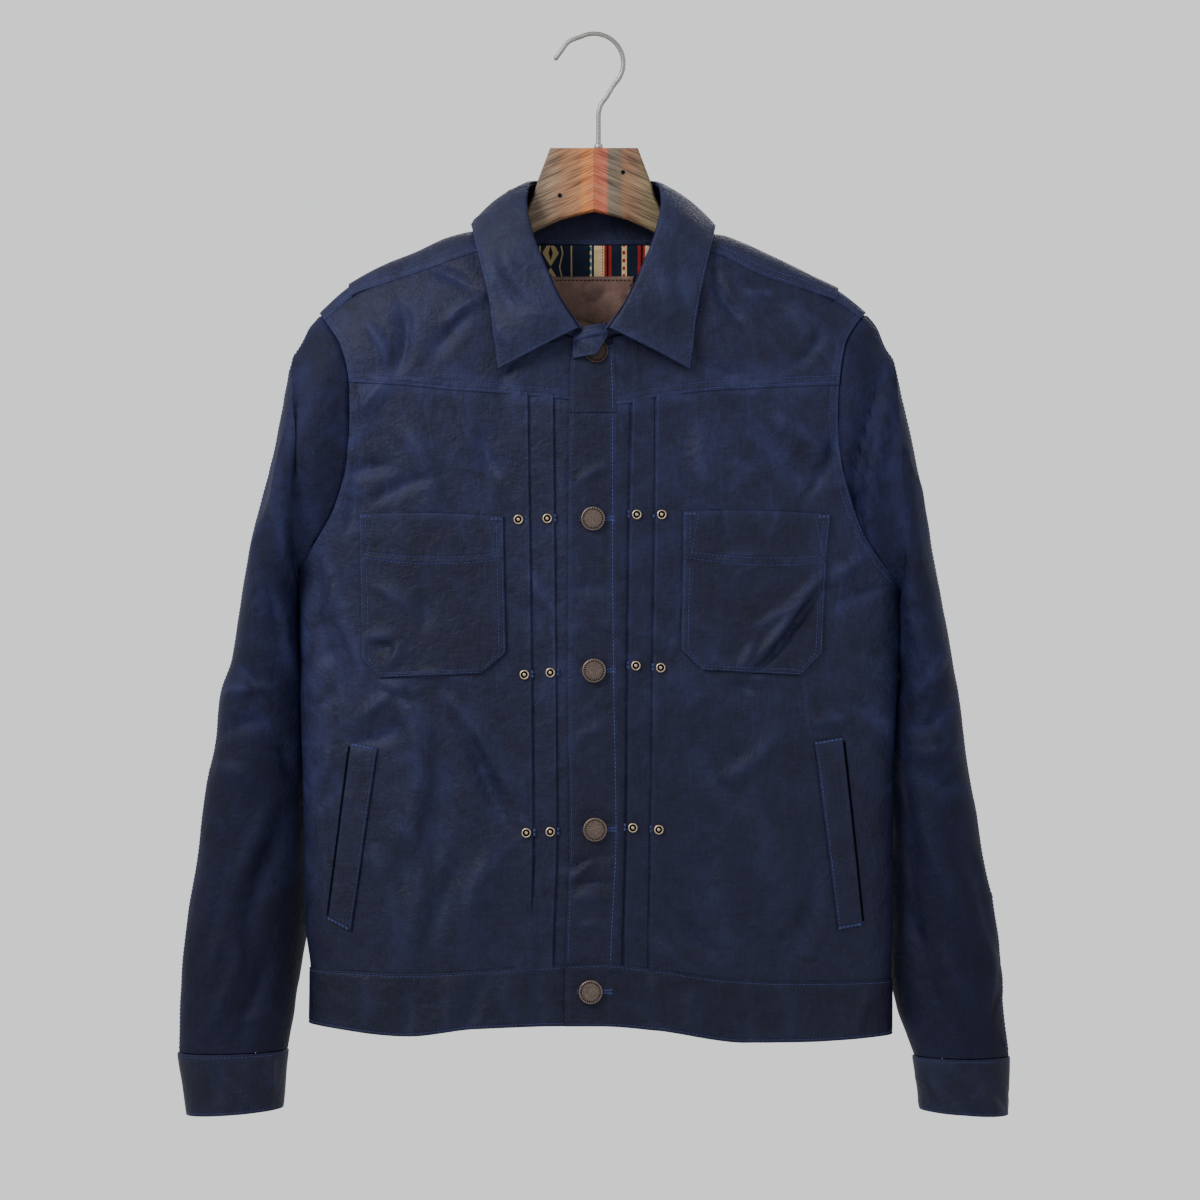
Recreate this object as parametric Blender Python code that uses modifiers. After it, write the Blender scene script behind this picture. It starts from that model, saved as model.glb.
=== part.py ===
"""A waxed cotton jacket, buttoned up and hung on a flat wooden hanger with a wire hook.

Metres, +Z up. The origin is where a peg carries the hook, under the top of its bend. X runs to the
right as the front is seen and -Y faces the viewer, so "left" and "right" below are as seen.
"""

import math

import bmesh
import bpy
import numpy as np
from mathutils import Vector

# Cloth and its seams
GAP = 0.0003  # between two pieces that are sewn or laid together
SEAM = 0.0012  # between curved seam edges, whose facets differ
SLEEVE_SEAM = 0.0022  # the same round the armhole, whose curve is tighter
CLOTH = 0.0020  # waxed cotton shell with its lining
BAND = 0.0032  # hem band and cuffs, folded double
BAND_OVER = 0.0040  # the hem band's upper end, above the body's form, where it is buttoned over
LEAF = 0.0020  # collar leaf
STAND = 0.0016  # collar stand
LAID_ON = 0.0018  # pockets, welts and placket, above the panel under them
YOKE_STEP = 0.0010  # the yoke's folded edge stands above the panel below it
PLEAT_STEP = 0.0019  # a knife pleat's fold stands above the strip beside it
FOLD_FLANK = 0.0004  # width of the drop at a pleat's fold
UNDERLAP = 0.0135  # the left front reaches this far right of the centre, under the placket
BAND_LAP = 0.0115  # and its hem band this far
FRONT_NECK = 0.0868  # half the width of the neck opening, on the fronts
BACK_NECK = 0.0890  # and on the back

# Torso section: |x|^SIDE_POWER + y^2 = 1, closing over the shoulders within CREST_DROP
SIDE_POWER = 2.6
CREST_DROP = 0.080

# Fastenings
BUTTON_RADIUS = 0.0095
BUTTON_HEIGHT = 0.0042
RIVET_RADIUS = 0.0040
RIVET_HEIGHT = 0.0014

# Hanger
WIRE_RADIUS = 0.00185
HOOK_RADIUS = 0.0235
STEM_X = 0.0036
WOOD_THICKNESS = 0.012
WOOD_TOP = -0.0900
ARM_UNDER_CREST = 0.0063
ARM_TIP_DROP = 0.0034  # how much more the arm's tip lies under the crest
HANGER_MIDDLE = -0.1405  # underside of the wood at its centre


def table(names, *rows):
    """A short table, as the values of each column under its name."""
    return dict(zip(names.split(), np.array(rows, float).T))


# Side edges of the body and how far its front and back stand out, from the shoulders to the hem
BODY = table(
    "z left right front back",
    (-0.1400, -0.2500, 0.2500, 0.0440, 0.0290),
    (-0.2600, -0.2520, 0.2520, 0.0470, 0.0310),
    (-0.3500, -0.2500, 0.2540, 0.0490, 0.0320),
    (-0.4000, -0.2450, 0.2530, 0.0490, 0.0320),
    (-0.4262, -0.2398, 0.2510, 0.0490, 0.0320),
    (-0.4440, -0.2368, 0.2490, 0.0490, 0.0320),
    (-0.5312, -0.2350, 0.2424, 0.0490, 0.0315),
    (-0.6230, -0.2322, 0.2392, 0.0480, 0.0310),
    (-0.7072, -0.2312, 0.2390, 0.0460, 0.0300),
    (-0.7496, -0.2266, 0.2378, 0.0440, 0.0290),
    (-0.8100, -0.2276, 0.2376, 0.0440, 0.0290),
)

# Top of the shoulders, from the left shoulder point to the right
CREST = table(
    "x z",
    (-0.2600, -0.2620),
    (-0.2192, -0.2224),
    (-0.1980, -0.2032),
    (-0.1715, -0.1855),
    (-0.1424, -0.1736),
    (-0.1158, -0.1616),
    (-0.0960, -0.1570),
    (0.0000, -0.1520),
    (0.1018, -0.1600),
    (0.1164, -0.1650),
    (0.1430, -0.1770),
    (0.1694, -0.1900),
    (0.1934, -0.2034),
    (0.2172, -0.2220),
    (0.2600, -0.2620),
)

# Shoulder seam, in front of the crest
SHOULDER_SEAM = table(
    "x z",
    (-0.2149, -0.2290),
    (-0.1863, -0.2069),
    (-0.1542, -0.1965),
    (-0.0954, -0.1765),
    (-0.0860, -0.1740),
    (0.0860, -0.1740),
    (0.1013, -0.1784),
    (0.1289, -0.1925),
    (0.1883, -0.2120),
    (0.2131, -0.2270),
)

# Armhole seam from the crest to the armpit
ARMHOLE = table(
    "share left_x left_z right_x right_z",
    (0.00, -0.2188, -0.2226, 0.2168, -0.2222),
    (0.08, -0.2120, -0.2325, 0.2085, -0.2320),
    (0.18, -0.2010, -0.2500, 0.1990, -0.2500),
    (0.32, -0.1943, -0.2785, 0.1946, -0.2785),
    (0.46, -0.1940, -0.3094, 0.1937, -0.3094),
    (0.60, -0.1966, -0.3420, 0.1965, -0.3420),
    (0.73, -0.2044, -0.3720, 0.2043, -0.3720),
    (0.84, -0.2166, -0.3969, 0.2150, -0.3990),
    (0.93, -0.2304, -0.4159, 0.2300, -0.4220),
    (1.00, -0.2398, -0.4262, 0.2490, -0.4440),
)

# Seams and edges that run across the body
YOKE_SEAM = table(
    "x z",
    (-0.1960, -0.2790),
    (-0.1532, -0.2816),
    (-0.1140, -0.2856),
    (-0.0617, -0.2895),
    (-0.0204, -0.2934),
    (0.0174, -0.2974),
    (0.0500, -0.2915),
    (0.0886, -0.2868),
    (0.1409, -0.2836),
    (0.1960, -0.2810),
)
BAND_SEAM = table(
    "x z",
    (-0.2280, -0.7446),
    (-0.1488, -0.7466),
    (-0.0739, -0.7423),
    (-0.0314, -0.7392),
    (0.0048, -0.7375),
    (0.0426, -0.7412),
    (0.1168, -0.7512),
    (0.1674, -0.7530),
    (0.2380, -0.7538),
)
HEM = table(
    "x z",
    (-0.2280, -0.7891),
    (-0.1488, -0.7963),
    (-0.0946, -0.7900),
    (-0.0223, -0.7873),
    (0.0048, -0.7873),
    (0.0500, -0.7909),
    (0.1222, -0.8008),
    (0.1674, -0.8008),
    (0.2380, -0.7981),
)

# The fold edges of the two knife pleats on each front, and the placket's edges
FRONT_LINES = table(
    "z outer_left inner_left placket_left placket_right inner_right outer_right",
    (-0.2400, -0.0518, -0.0317, -0.0170, 0.0140, 0.0306, 0.0493),
    (-0.2920, -0.0516, -0.0316, -0.0196, 0.0161, 0.0303, 0.0491),
    (-0.3878, -0.0504, -0.0308, -0.0206, 0.0161, 0.0283, 0.0482),
    (-0.5099, -0.0488, -0.0296, -0.0210, 0.0170, 0.0271, 0.0465),
    (-0.6343, -0.0480, -0.0289, -0.0198, 0.0189, 0.0261, 0.0450),
    (-0.7380, -0.0492, -0.0320, -0.0226, 0.0148, 0.0238, 0.0434),
    (-0.8100, -0.0492, -0.0320, -0.0241, 0.0148, 0.0238, 0.0434),
)
PLACKET_JOIN = -0.3012  # where the placket's upper piece meets the lower
PLEAT_DEPTH = 0.024  # how far a pleat's layers reach back from its fold

# The fold of the back's two action pleats, from the shoulder seam to the hem band
BACK_PLEAT = table(
    "z x",
    (-0.2030, 0.1950),
    (-0.2500, 0.1800),
    (-0.3100, 0.1720),
    (-0.4200, 0.1690),
    (-0.6000, 0.1660),
    (-0.7500, 0.1630),
)

# Collar, from the centre front round to the centre back: its seam on the neckline, the roll
# over which it turns, and the leaf's free edge, whose first row is the collar point
COLLAR = table(
    "share seam_x seam_y seam_z roll_x roll_y roll_z edge_x edge_y edge_z",
    (0.00, 0.0006, -0.0465, -0.2460, 0.0118, -0.0600, -0.2375, 0.0760, -0.0506, -0.2700),
    (0.12, 0.0330, -0.0460, -0.2390, 0.0255, -0.0610, -0.2165, 0.0790, -0.0505, -0.2430),
    (0.26, 0.0590, -0.0440, -0.2190, 0.0395, -0.0550, -0.1850, 0.0835, -0.0480, -0.2130),
    (0.40, 0.0760, -0.0385, -0.1950, 0.0495, -0.0440, -0.1570, 0.0895, -0.0400, -0.1860),
    (0.52, 0.0870, -0.0255, -0.1760, 0.0535, -0.0270, -0.1330, 0.0950, -0.0240, -0.1640),
    (0.62, 0.0885, -0.0010, -0.1555, 0.0515, -0.0060, -0.1180, 0.0975, -0.0010, -0.1525),
    (0.74, 0.0770, 0.0150, -0.1600, 0.0430, 0.0120, -0.1140, 0.0900, 0.0220, -0.1670),
    (0.87, 0.0420, 0.0168, -0.1620, 0.0240, 0.0190, -0.1130, 0.0500, 0.0290, -0.1830),
    (1.00, 0.0000, 0.0168, -0.1620, 0.0000, 0.0210, -0.1125, 0.0000, 0.0315, -0.1880),
)
LEAF_BOW = 0.0040  # how far the leaf stands out between its roll and its edge
NECK_AXIS = 0.010  # the middle of the neck lies this far in front of the origin
NECKLINE_DROP = 0.0028  # the panels' neck edge lies this far below the collar's seam

# Sleeves, a row for each section from the sleeve head to the cuff's edge: the outer and the inner
# end of the section, half its depth, its middle, and how far its inner side is swung back
SLEEVE_LEFT = table(
    "out_x out_z in_x in_z depth mid swing",
    (-0.2395, -0.2560, -0.2405, -0.4330, 0.0440, 0.0010, 0.0000),
    (-0.2570, -0.3340, -0.2405, -0.4450, 0.0460, 0.0050, 0.0060),
    (-0.2715, -0.3900, -0.2385, -0.4600, 0.0455, 0.0080, 0.0160),
    (-0.2815, -0.4420, -0.2350, -0.4860, 0.0430, 0.0100, 0.0200),
    (-0.2902, -0.4979, -0.2310, -0.5240, 0.0410, 0.0110, 0.0215),
    (-0.2998, -0.5270, -0.2280, -0.5560, 0.0400, 0.0110, 0.0220),
    (-0.3036, -0.5638, -0.2265, -0.5880, 0.0395, 0.0110, 0.0220),
    (-0.3112, -0.6005, -0.2260, -0.6200, 0.0385, 0.0110, 0.0215),
    (-0.3186, -0.6592, -0.2270, -0.6750, 0.0370, 0.0110, 0.0200),
    (-0.3243, -0.6920, -0.2295, -0.7060, 0.0355, 0.0110, 0.0180),
    (-0.3294, -0.7392, -0.2358, -0.7480, 0.0330, 0.0105, 0.0120),
    (-0.3318, -0.7736, -0.2404, -0.7800, 0.0310, 0.0090, 0.0050),
    (-0.3327, -0.8128, -0.2456, -0.8104, 0.0300, 0.0080, 0.0000),
    (-0.3329, -0.8135, -0.2456, -0.8110, 0.0300, 0.0080, 0.0000),
    (-0.3262, -0.8640, -0.2500, -0.8580, 0.0285, 0.0080, 0.0000),
)
SLEEVE_RIGHT = table(
    "out_x out_z in_x in_z depth mid swing",
    (0.2390, -0.2580, 0.2500, -0.4500, 0.0440, 0.0010, 0.0000),
    (0.2545, -0.3250, 0.2490, -0.4600, 0.0460, 0.0050, 0.0060),
    (0.2650, -0.3830, 0.2460, -0.4740, 0.0455, 0.0080, 0.0160),
    (0.2740, -0.4300, 0.2425, -0.4960, 0.0430, 0.0100, 0.0200),
    (0.2860, -0.4900, 0.2390, -0.5300, 0.0410, 0.0110, 0.0215),
    (0.2935, -0.5330, 0.2365, -0.5620, 0.0400, 0.0110, 0.0220),
    (0.2990, -0.5760, 0.2345, -0.5980, 0.0395, 0.0110, 0.0220),
    (0.3070, -0.6240, 0.2340, -0.6420, 0.0385, 0.0110, 0.0215),
    (0.3130, -0.6640, 0.2340, -0.6780, 0.0370, 0.0110, 0.0200),
    (0.3200, -0.6940, 0.2345, -0.7080, 0.0355, 0.0110, 0.0180),
    (0.3252, -0.7335, 0.2365, -0.7450, 0.0330, 0.0105, 0.0120),
    (0.3276, -0.7700, 0.2430, -0.7760, 0.0310, 0.0090, 0.0050),
    (0.3323, -0.8158, 0.2565, -0.8153, 0.0300, 0.0080, 0.0000),
    (0.3326, -0.8166, 0.2566, -0.8160, 0.0300, 0.0080, 0.0000),
    (0.3308, -0.8640, 0.2622, -0.8590, 0.0285, 0.0080, 0.0000),
)
SLEEVES = {"left": SLEEVE_LEFT, "right": SLEEVE_RIGHT}
SLEEVE_END = 13  # the section where the sleeve is sewn to its cuff
CUFF_START, CUFF_END = 14, 15
CUFF_SLIT = 0.384  # where the cuff's ends meet, as a share of half a turn from its inner side
SLIT_ANGLE = 0.024

# The largest folds: a trough or ridge from one end to the other, deepest in its middle
FOLDS = table(
    "x1 z1 x2 z2 width depth",
    (-0.2190, -0.2650, -0.2200, -0.4050, 0.0090, -0.0050),
    (0.2180, -0.2600, 0.2220, -0.4150, 0.0090, -0.0050),
    (-0.0950, -0.5600, -0.0560, -0.6060, 0.0130, -0.0030),
    (-0.1900, -0.4200, -0.1500, -0.2950, 0.0120, -0.0020),
    (-0.2880, -0.5150, -0.2450, -0.5350, 0.0110, -0.0040),
    (-0.3000, -0.5750, -0.2500, -0.5600, 0.0110, -0.0035),
    (0.2900, -0.5200, 0.2450, -0.5450, 0.0110, -0.0035),
    (0.3050, -0.6100, 0.2550, -0.5900, 0.0110, -0.0035),
    (0.1600, -0.2900, 0.1900, -0.3500, 0.0120, -0.0020),
    (-0.0300, -0.6500, 0.0300, -0.6620, 0.0080, -0.0015),
)

# Pieces laid on the fronts. A patch's rows are its edges at the left and the right.
POCKET_LEFT = table(
    "left_x left_z right_x right_z",
    (-0.1849, -0.4190, -0.0706, -0.4206),
    (-0.1842, -0.4450, -0.0700, -0.4450),
    (-0.1835, -0.4720, -0.0693, -0.4720),
    (-0.1829, -0.4975, -0.0689, -0.4924),
    (-0.1690, -0.5125, -0.0885, -0.5090),
)
POCKET_RIGHT = table(
    "left_x left_z right_x right_z",
    (0.0700, -0.4189, 0.1831, -0.4227),
    (0.0694, -0.4450, 0.1823, -0.4450),
    (0.0688, -0.4700, 0.1812, -0.4700),
    (0.0684, -0.4902, 0.1802, -0.4924),
    (0.0849, -0.5062, 0.1625, -0.5105),
)
POCKET_TOP_LEFT = table(
    "left_x left_z right_x right_z",
    (-0.1856, -0.3830, -0.0711, -0.3852),
    (-0.1852, -0.4000, -0.0708, -0.4020),
    (-0.1849, -0.4182, -0.0706, -0.4198),
)
POCKET_TOP_RIGHT = table(
    "left_x left_z right_x right_z",
    (0.0700, -0.3812, 0.1868, -0.3832),
    (0.0700, -0.4000, 0.1850, -0.4020),
    (0.0700, -0.4181, 0.1831, -0.4219),
)
POCKET_SAG = 0.0052  # the pocket's top band dips this far between its ends
WELT_LEFT = table(
    "left_x left_z right_x right_z",
    (-0.1924, -0.5644, -0.1707, -0.5680),
    (-0.1985, -0.6110, -0.1778, -0.6160),
    (-0.2046, -0.6580, -0.1849, -0.6650),
    (-0.2106, -0.7046, -0.1920, -0.7136),
)
WELT_RIGHT = table(
    "left_x left_z right_x right_z",
    (0.1740, -0.5635, 0.1966, -0.5599),
    (0.1803, -0.6130, 0.2020, -0.6100),
    (0.1867, -0.6625, 0.2074, -0.6590),
    (0.1930, -0.7119, 0.2128, -0.7091),
)
BUTTONS = table(
    "x z",
    (0.0032, -0.2575),
    (-0.0007, -0.3872),
    (0.0001, -0.5066),
    (0.0009, -0.6316),
    (-0.0026, -0.7596),
)
RIVETS = table(
    "x z",
    (-0.0594, -0.3878),
    (-0.0367, -0.3870),
    (0.0337, -0.3839),
    (0.0533, -0.3839),
    (-0.0547, -0.5099),
    (-0.0343, -0.5083),
    (0.0330, -0.5028),
    (0.0525, -0.5044),
    (-0.0531, -0.6343),
    (-0.0343, -0.6335),
    (0.0306, -0.6304),
    (0.0510, -0.6319),
)

# The right half of the hanger: its neck down to the arm, and the arm's underside back to the centre
HANGER_NECK = table(
    "x z",
    (0.0350, WOOD_TOP),
    (0.0445, -0.1150),
    (0.0490, -0.1300),
    (0.0560, -0.1440),
)
HANGER_UNDER = table(
    "x z",
    (0.1500, -0.2060),
    (0.1000, -0.1830),
    (0.0520, -0.1590),
    (0.0272, -0.1472),
)

FRONT, BACK = -1, 1
SIDES = {"left": -1, "right": 1}


def smooth(place, knots, values):
    """A curve through the values, with no overshoot between them, read at a place or places."""
    order = np.argsort(knots)
    knots, values = knots[order], values[order]
    steps = np.diff(knots)
    rises = np.diff(values) / steps
    same_way = rises[:-1] * rises[1:] > 0
    total = np.where(same_way, rises[:-1] + rises[1:], 1.0)
    inner = np.where(same_way, 2 * rises[:-1] * rises[1:] / total, 0.0)
    slopes = np.concatenate([rises[:1], inner, rises[-1:]])
    place = np.clip(place, knots[0], knots[-1])
    k = np.clip(np.searchsorted(knots, place, side="right") - 1, 0, len(steps) - 1)
    t = (place - knots[k]) / steps[k]
    start = values[k] * (1 + 2 * t) * (1 - t) ** 2 + steps[k] * slopes[k] * t * (1 - t) ** 2
    end = values[k + 1] * (3 - 2 * t) * t**2 - steps[k] * slopes[k + 1] * t**2 * (1 - t)
    return start + end


def read(rows, column, place):
    """A table's column at a place along its first column."""
    first = next(iter(rows))
    return smooth(place, rows[first], rows[column])


def mix(a, b, share):
    return a + (b - a) * share


# --- The body's form -----------------------------------------------------------------------------


def fullness(x, z):
    """From 0 at the side edges and the crest to 1 in the middle of a front or back, squared."""
    left, right = read(BODY, "left", z), read(BODY, "right", z)
    across = abs(2 * x - left - right) / (right - left)
    drop = np.clip((read(CREST, "z", x) - z) / CREST_DROP, 0, 1)
    return (1 - np.minimum(across, 1) ** SIDE_POWER) * (2 * drop - drop**2)


def depth(z, face):
    return read(BODY, "front" if face == FRONT else "back", z)


def torso_normal(x, y, z, face):
    """Outward normal of the body's form, as the slope of y^2 / depth^2 - fullness."""

    def level(x, y, z):
        return (y / depth(z, face)) ** 2 - fullness(x, z)

    step = 2e-5
    slope = [
        level(x + step, y, z) - level(x - step, y, z),
        level(x, y + step, z) - level(x, y - step, z),
        level(x, y, z + step) - level(x, y, z - step),
    ]
    if abs(slope[0]) + abs(slope[1]) + abs(slope[2]) < 1e-12:
        return Vector((0, 0, 1))
    return Vector(slope).normalized()


def fold_depth(x, z):
    """How far the largest folds raise or sink the cloth here."""
    total = 0.0
    for x1, z1, x2, z2, width, deep in zip(*(FOLDS[name] for name in FOLDS)):
        run_x, run_z = x2 - x1, z2 - z1
        length = math.hypot(run_x, run_z)
        along = ((x - x1) * run_x + (z - z1) * run_z) / length**2
        off = ((x - x1) * run_z - (z - z1) * run_x) / length
        middle = math.exp(-((2 * along - 1) ** 4))
        total += deep * middle * math.exp(-((off / width) ** 2))
    return total


def torso_point(x, z, face, lift=0.0):
    """A point of the body's front or back, lifted out of the cloth's outer face."""
    full = max(float(fullness(x, z)), 0.0)
    y = face * float(depth(z, face)) * math.sqrt(full)
    normal = torso_normal(x, y, z, face)
    lift += float(fold_depth(x, z)) * min(1.0, 2 * full)
    return Vector((x, y + face * GAP / 2, z)) + normal * lift


def armpit_z(side):
    return ARMHOLE[side + "_z"][-1]


def read_armhole(z, side):
    return smooth(z, ARMHOLE[side + "_z"], ARMHOLE[side + "_x"])


def panel_edge(z, side):
    """Outer edge of a front or back panel: the armhole seam, then the side seam."""
    if z > armpit_z(side):
        return float(read_armhole(z, side))
    return float(read(BODY, side, z))


def pleat_lift(x, z):
    """Height of the front's knife pleats: a ramp up to each fold, then a drop."""
    lift = 0.0
    for side, name in (("left", "outer_left"), ("left", "inner_left"),
                       ("right", "outer_right"), ("right", "inner_right")):
        fold = float(read(FRONT_LINES, name, z))
        outward = (x - fold) * SIDES[side]
        reach = PLEAT_DEPTH if name.startswith("outer") else PLEAT_DEPTH * 0.78
        if -FOLD_FLANK < outward < 0:
            lift += PLEAT_STEP * (1 + outward / FOLD_FLANK)
        elif 0 <= outward < reach:
            lift += PLEAT_STEP * (1 - outward / reach) ** 1.5
    return lift


def back_pleat_lift(x, z):
    """Height of the back's action pleats: the middle of the back lies over the sides."""
    fold = float(read(BACK_PLEAT, "x", z))
    inward = fold - abs(x)
    if -FOLD_FLANK < inward < 0:
        return PLEAT_STEP * (1 + inward / FOLD_FLANK)
    if 0 <= inward < PLEAT_DEPTH:
        return PLEAT_STEP * (1 - inward / PLEAT_DEPTH) ** 1.5
    return 0.0


# --- Making objects ------------------------------------------------------------------------------


def clear_scene():
    for obj in list(bpy.data.objects):
        bpy.data.objects.remove(obj, do_unlink=True)


def new_material(name, colour, roughness, metallic=0.0):
    material = bpy.data.materials.new(name)
    material.use_nodes = True
    shader = material.node_tree.nodes["Principled BSDF"]
    shader.inputs["Base Color"].default_value = (*colour, 1)
    shader.inputs["Roughness"].default_value = roughness
    shader.inputs["Metallic"].default_value = metallic
    material.diffuse_color = (*colour, 1)
    return material


def add_object(name, data, material):
    obj = bpy.data.objects.new(name, data)
    data.materials.append(material)
    jacket.objects.link(obj)
    return obj


def cloth(name, columns, rows, place, material, keep=None):
    """A piece of cloth: a flat grid is given thickness, and place(u, v, w) sets each of its points.

    columns and rows list the u and v of the grid's lines, and w is 0 on the inside and 1 outside.
    keep(u, v), where given, says which cells stay, by their middles.
    """
    mesh = bmesh.new()
    across, up = len(columns) - 1, len(rows) - 1
    bmesh.ops.create_grid(mesh, x_segments=across, y_segments=up, size=1)
    for vertex in mesh.verts:
        column = round((vertex.co.x + 1) / 2 * across)
        row = round((vertex.co.y + 1) / 2 * up)
        vertex.co = (columns[column], rows[row], 0)
    if keep:
        middles = [(face, face.calc_center_median()) for face in mesh.faces]
        cut = [face for face, middle in middles if not keep(middle.x, middle.y)]
        bmesh.ops.delete(mesh, geom=cut, context="FACES")
    raised = bmesh.ops.extrude_face_region(mesh, geom=list(mesh.faces), use_keep_orig=True)
    for part in raised["geom"]:
        if isinstance(part, bmesh.types.BMVert):
            part.co.z = 1
    for vertex in mesh.verts:
        vertex.co = place(vertex.co.x, vertex.co.y, vertex.co.z)
    bmesh.ops.recalc_face_normals(mesh, faces=mesh.faces)
    if mesh.calc_volume(signed=True) < 0:
        bmesh.ops.reverse_faces(mesh, faces=mesh.faces)
    data = bpy.data.meshes.new(name)
    mesh.to_mesh(data)
    mesh.free()
    data.set_sharp_from_angle(angle=math.radians(40))
    return add_object(name, data, material)


def turned(name, profile, steps, material):
    """A turned piece: a profile of (radius, height) from the top of its axis down to the base."""
    data = bpy.data.meshes.new(name)
    points = [(radius, 0, height) for radius, height in profile]
    data.from_pydata(points, [(i, i + 1) for i in range(len(points) - 1)], [])
    obj = add_object(name, data, material)
    screw = obj.modifiers.new("Turn", "SCREW")
    screw.steps = screw.render_steps = steps
    screw.use_merge_vertices = True
    screw.merge_threshold = 0.00005
    return obj


def even(count, start=0.0, end=1.0):
    return [start + (end - start) * i / count for i in range(count + 1)]


# --- Fronts, back and hem band -------------------------------------------------------------------


def add_front_panel(side):
    """A lower front, from the yoke to the hem band, with its two knife pleats."""
    sign = SIDES[side]
    outward = [0.0, 0.02, 0.06, 0.13, 0.22, 0.34, 0.48, 0.62, 0.76, 0.88]
    columns = outward + [1.0, 1.6, 2.0, 2.1, 2.6, 3.0, 3.1, 4.0]

    def column_x(u, z):
        edge = panel_edge(z, side)
        outer = float(read(FRONT_LINES, "outer_" + side, z))
        inner = float(read(FRONT_LINES, "inner_" + side, z))
        reach = outer + sign * PLEAT_DEPTH
        if side == "left":
            last = UNDERLAP
        else:
            last = float(read(FRONT_LINES, "placket_right", z)) + GAP
        if u <= 1:
            return mix(edge, reach, u)
        if u <= 2:
            return mix(reach, outer, u - 1)
        if u < 2.5:
            return outer - sign * FOLD_FLANK
        if u <= 3:
            return mix(outer, inner, u - 2)
        if u < 3.5:
            return inner - sign * FOLD_FLANK
        return last

    def place(u, v, w):
        z = mix(-0.7450, -0.2850, v)
        for _ in range(4):
            x = column_x(u, z)
            bottom = read(BAND_SEAM, "z", x) + SEAM / 2
            top = read(YOKE_SEAM, "z", x) - GAP / 2
            z = float(mix(bottom, top, v))
        lift = pleat_lift(x, z) if w else -CLOTH
        return torso_point(x, z, FRONT, lift)

    rows = [0, 0.06, 0.14, 0.24, 0.34, 0.44, 0.54, 0.63, 0.71, 0.78, 0.86, 0.93, 1.0]
    cloth("front_panel_" + side, columns, rows, place, waxed_cotton)


def neckline_z(x):
    return float(smooth(abs(x), COLLAR["seam_x"][:5], COLLAR["seam_z"][:5])) - NECKLINE_DROP


def add_front_yoke(side):
    """A front yoke, from the shoulder seam and neckline down over the top of the lower front."""
    sign = SIDES[side]
    columns = [0.0, 0.12, 0.28, 0.46, 0.64, 0.82, 1.0, 1.25, 1.5, 1.75, 2.0]

    def column_x(u, z):
        edge = float(read_armhole(z, side))
        last = UNDERLAP
        if side == "right":
            last = float(read(FRONT_LINES, "placket_right", z)) + GAP
        if u <= 1:
            return mix(edge, sign * FRONT_NECK, u)
        return mix(sign * FRONT_NECK, last, u - 1)

    def top_z(x):
        if abs(x) > FRONT_NECK:
            return float(read(SHOULDER_SEAM, "z", x)) - SEAM / 2
        return neckline_z(x)

    def place(u, v, w):
        z = mix(-0.2850, -0.2300, v)
        for _ in range(6):
            x = column_x(u, z)
            z = float(mix(read(YOKE_SEAM, "z", x) + GAP / 2, top_z(x), v))
        raised = YOKE_STEP * max(0.0, 1 - v / 0.5)
        return torso_point(x, z, FRONT, raised if w else -CLOTH)

    rows = [0, 0.15, 0.3, 0.5, 0.7, 0.86, 1.0]
    cloth("front_yoke_" + side, columns, rows, place, waxed_cotton)


def front_face(x, z):
    """Lift of the outermost cloth of a front: the yoke or the lower front with its pleats."""
    if z > read(YOKE_SEAM, "z", x):
        return YOKE_STEP
    return pleat_lift(x, z)


def add_placket():
    """The button band: its upper piece on the yoke, and its lower piece down to the hem band."""
    columns = even(3)

    def place_between(bottom, top):
        def place(u, v, w):
            z = mix(-0.50, -0.28, v)
            for _ in range(4):
                left = float(read(FRONT_LINES, "placket_left", z))
                right = float(read(FRONT_LINES, "placket_right", z))
                x = mix(left, right, u)
                z = float(mix(bottom(x), top(x), v))
            base = YOKE_STEP + GAP if z > -0.33 else GAP + YOKE_STEP * 0.3
            return torso_point(x, z, FRONT, base + (LAID_ON if w else 0))

        return place

    def neck(x):
        return mix(-0.2600, -0.2490, np.clip((x + 0.0179) / 0.033, 0, 1))

    upper = place_between(lambda x: PLACKET_JOIN + GAP, neck)
    lower = place_between(lambda x: read(BAND_SEAM, "z", x) + SEAM, lambda x: PLACKET_JOIN)
    cloth("placket_upper", columns, even(3), upper, waxed_cotton)
    cloth("placket_lower", columns, even(14), lower, waxed_cotton)


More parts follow.
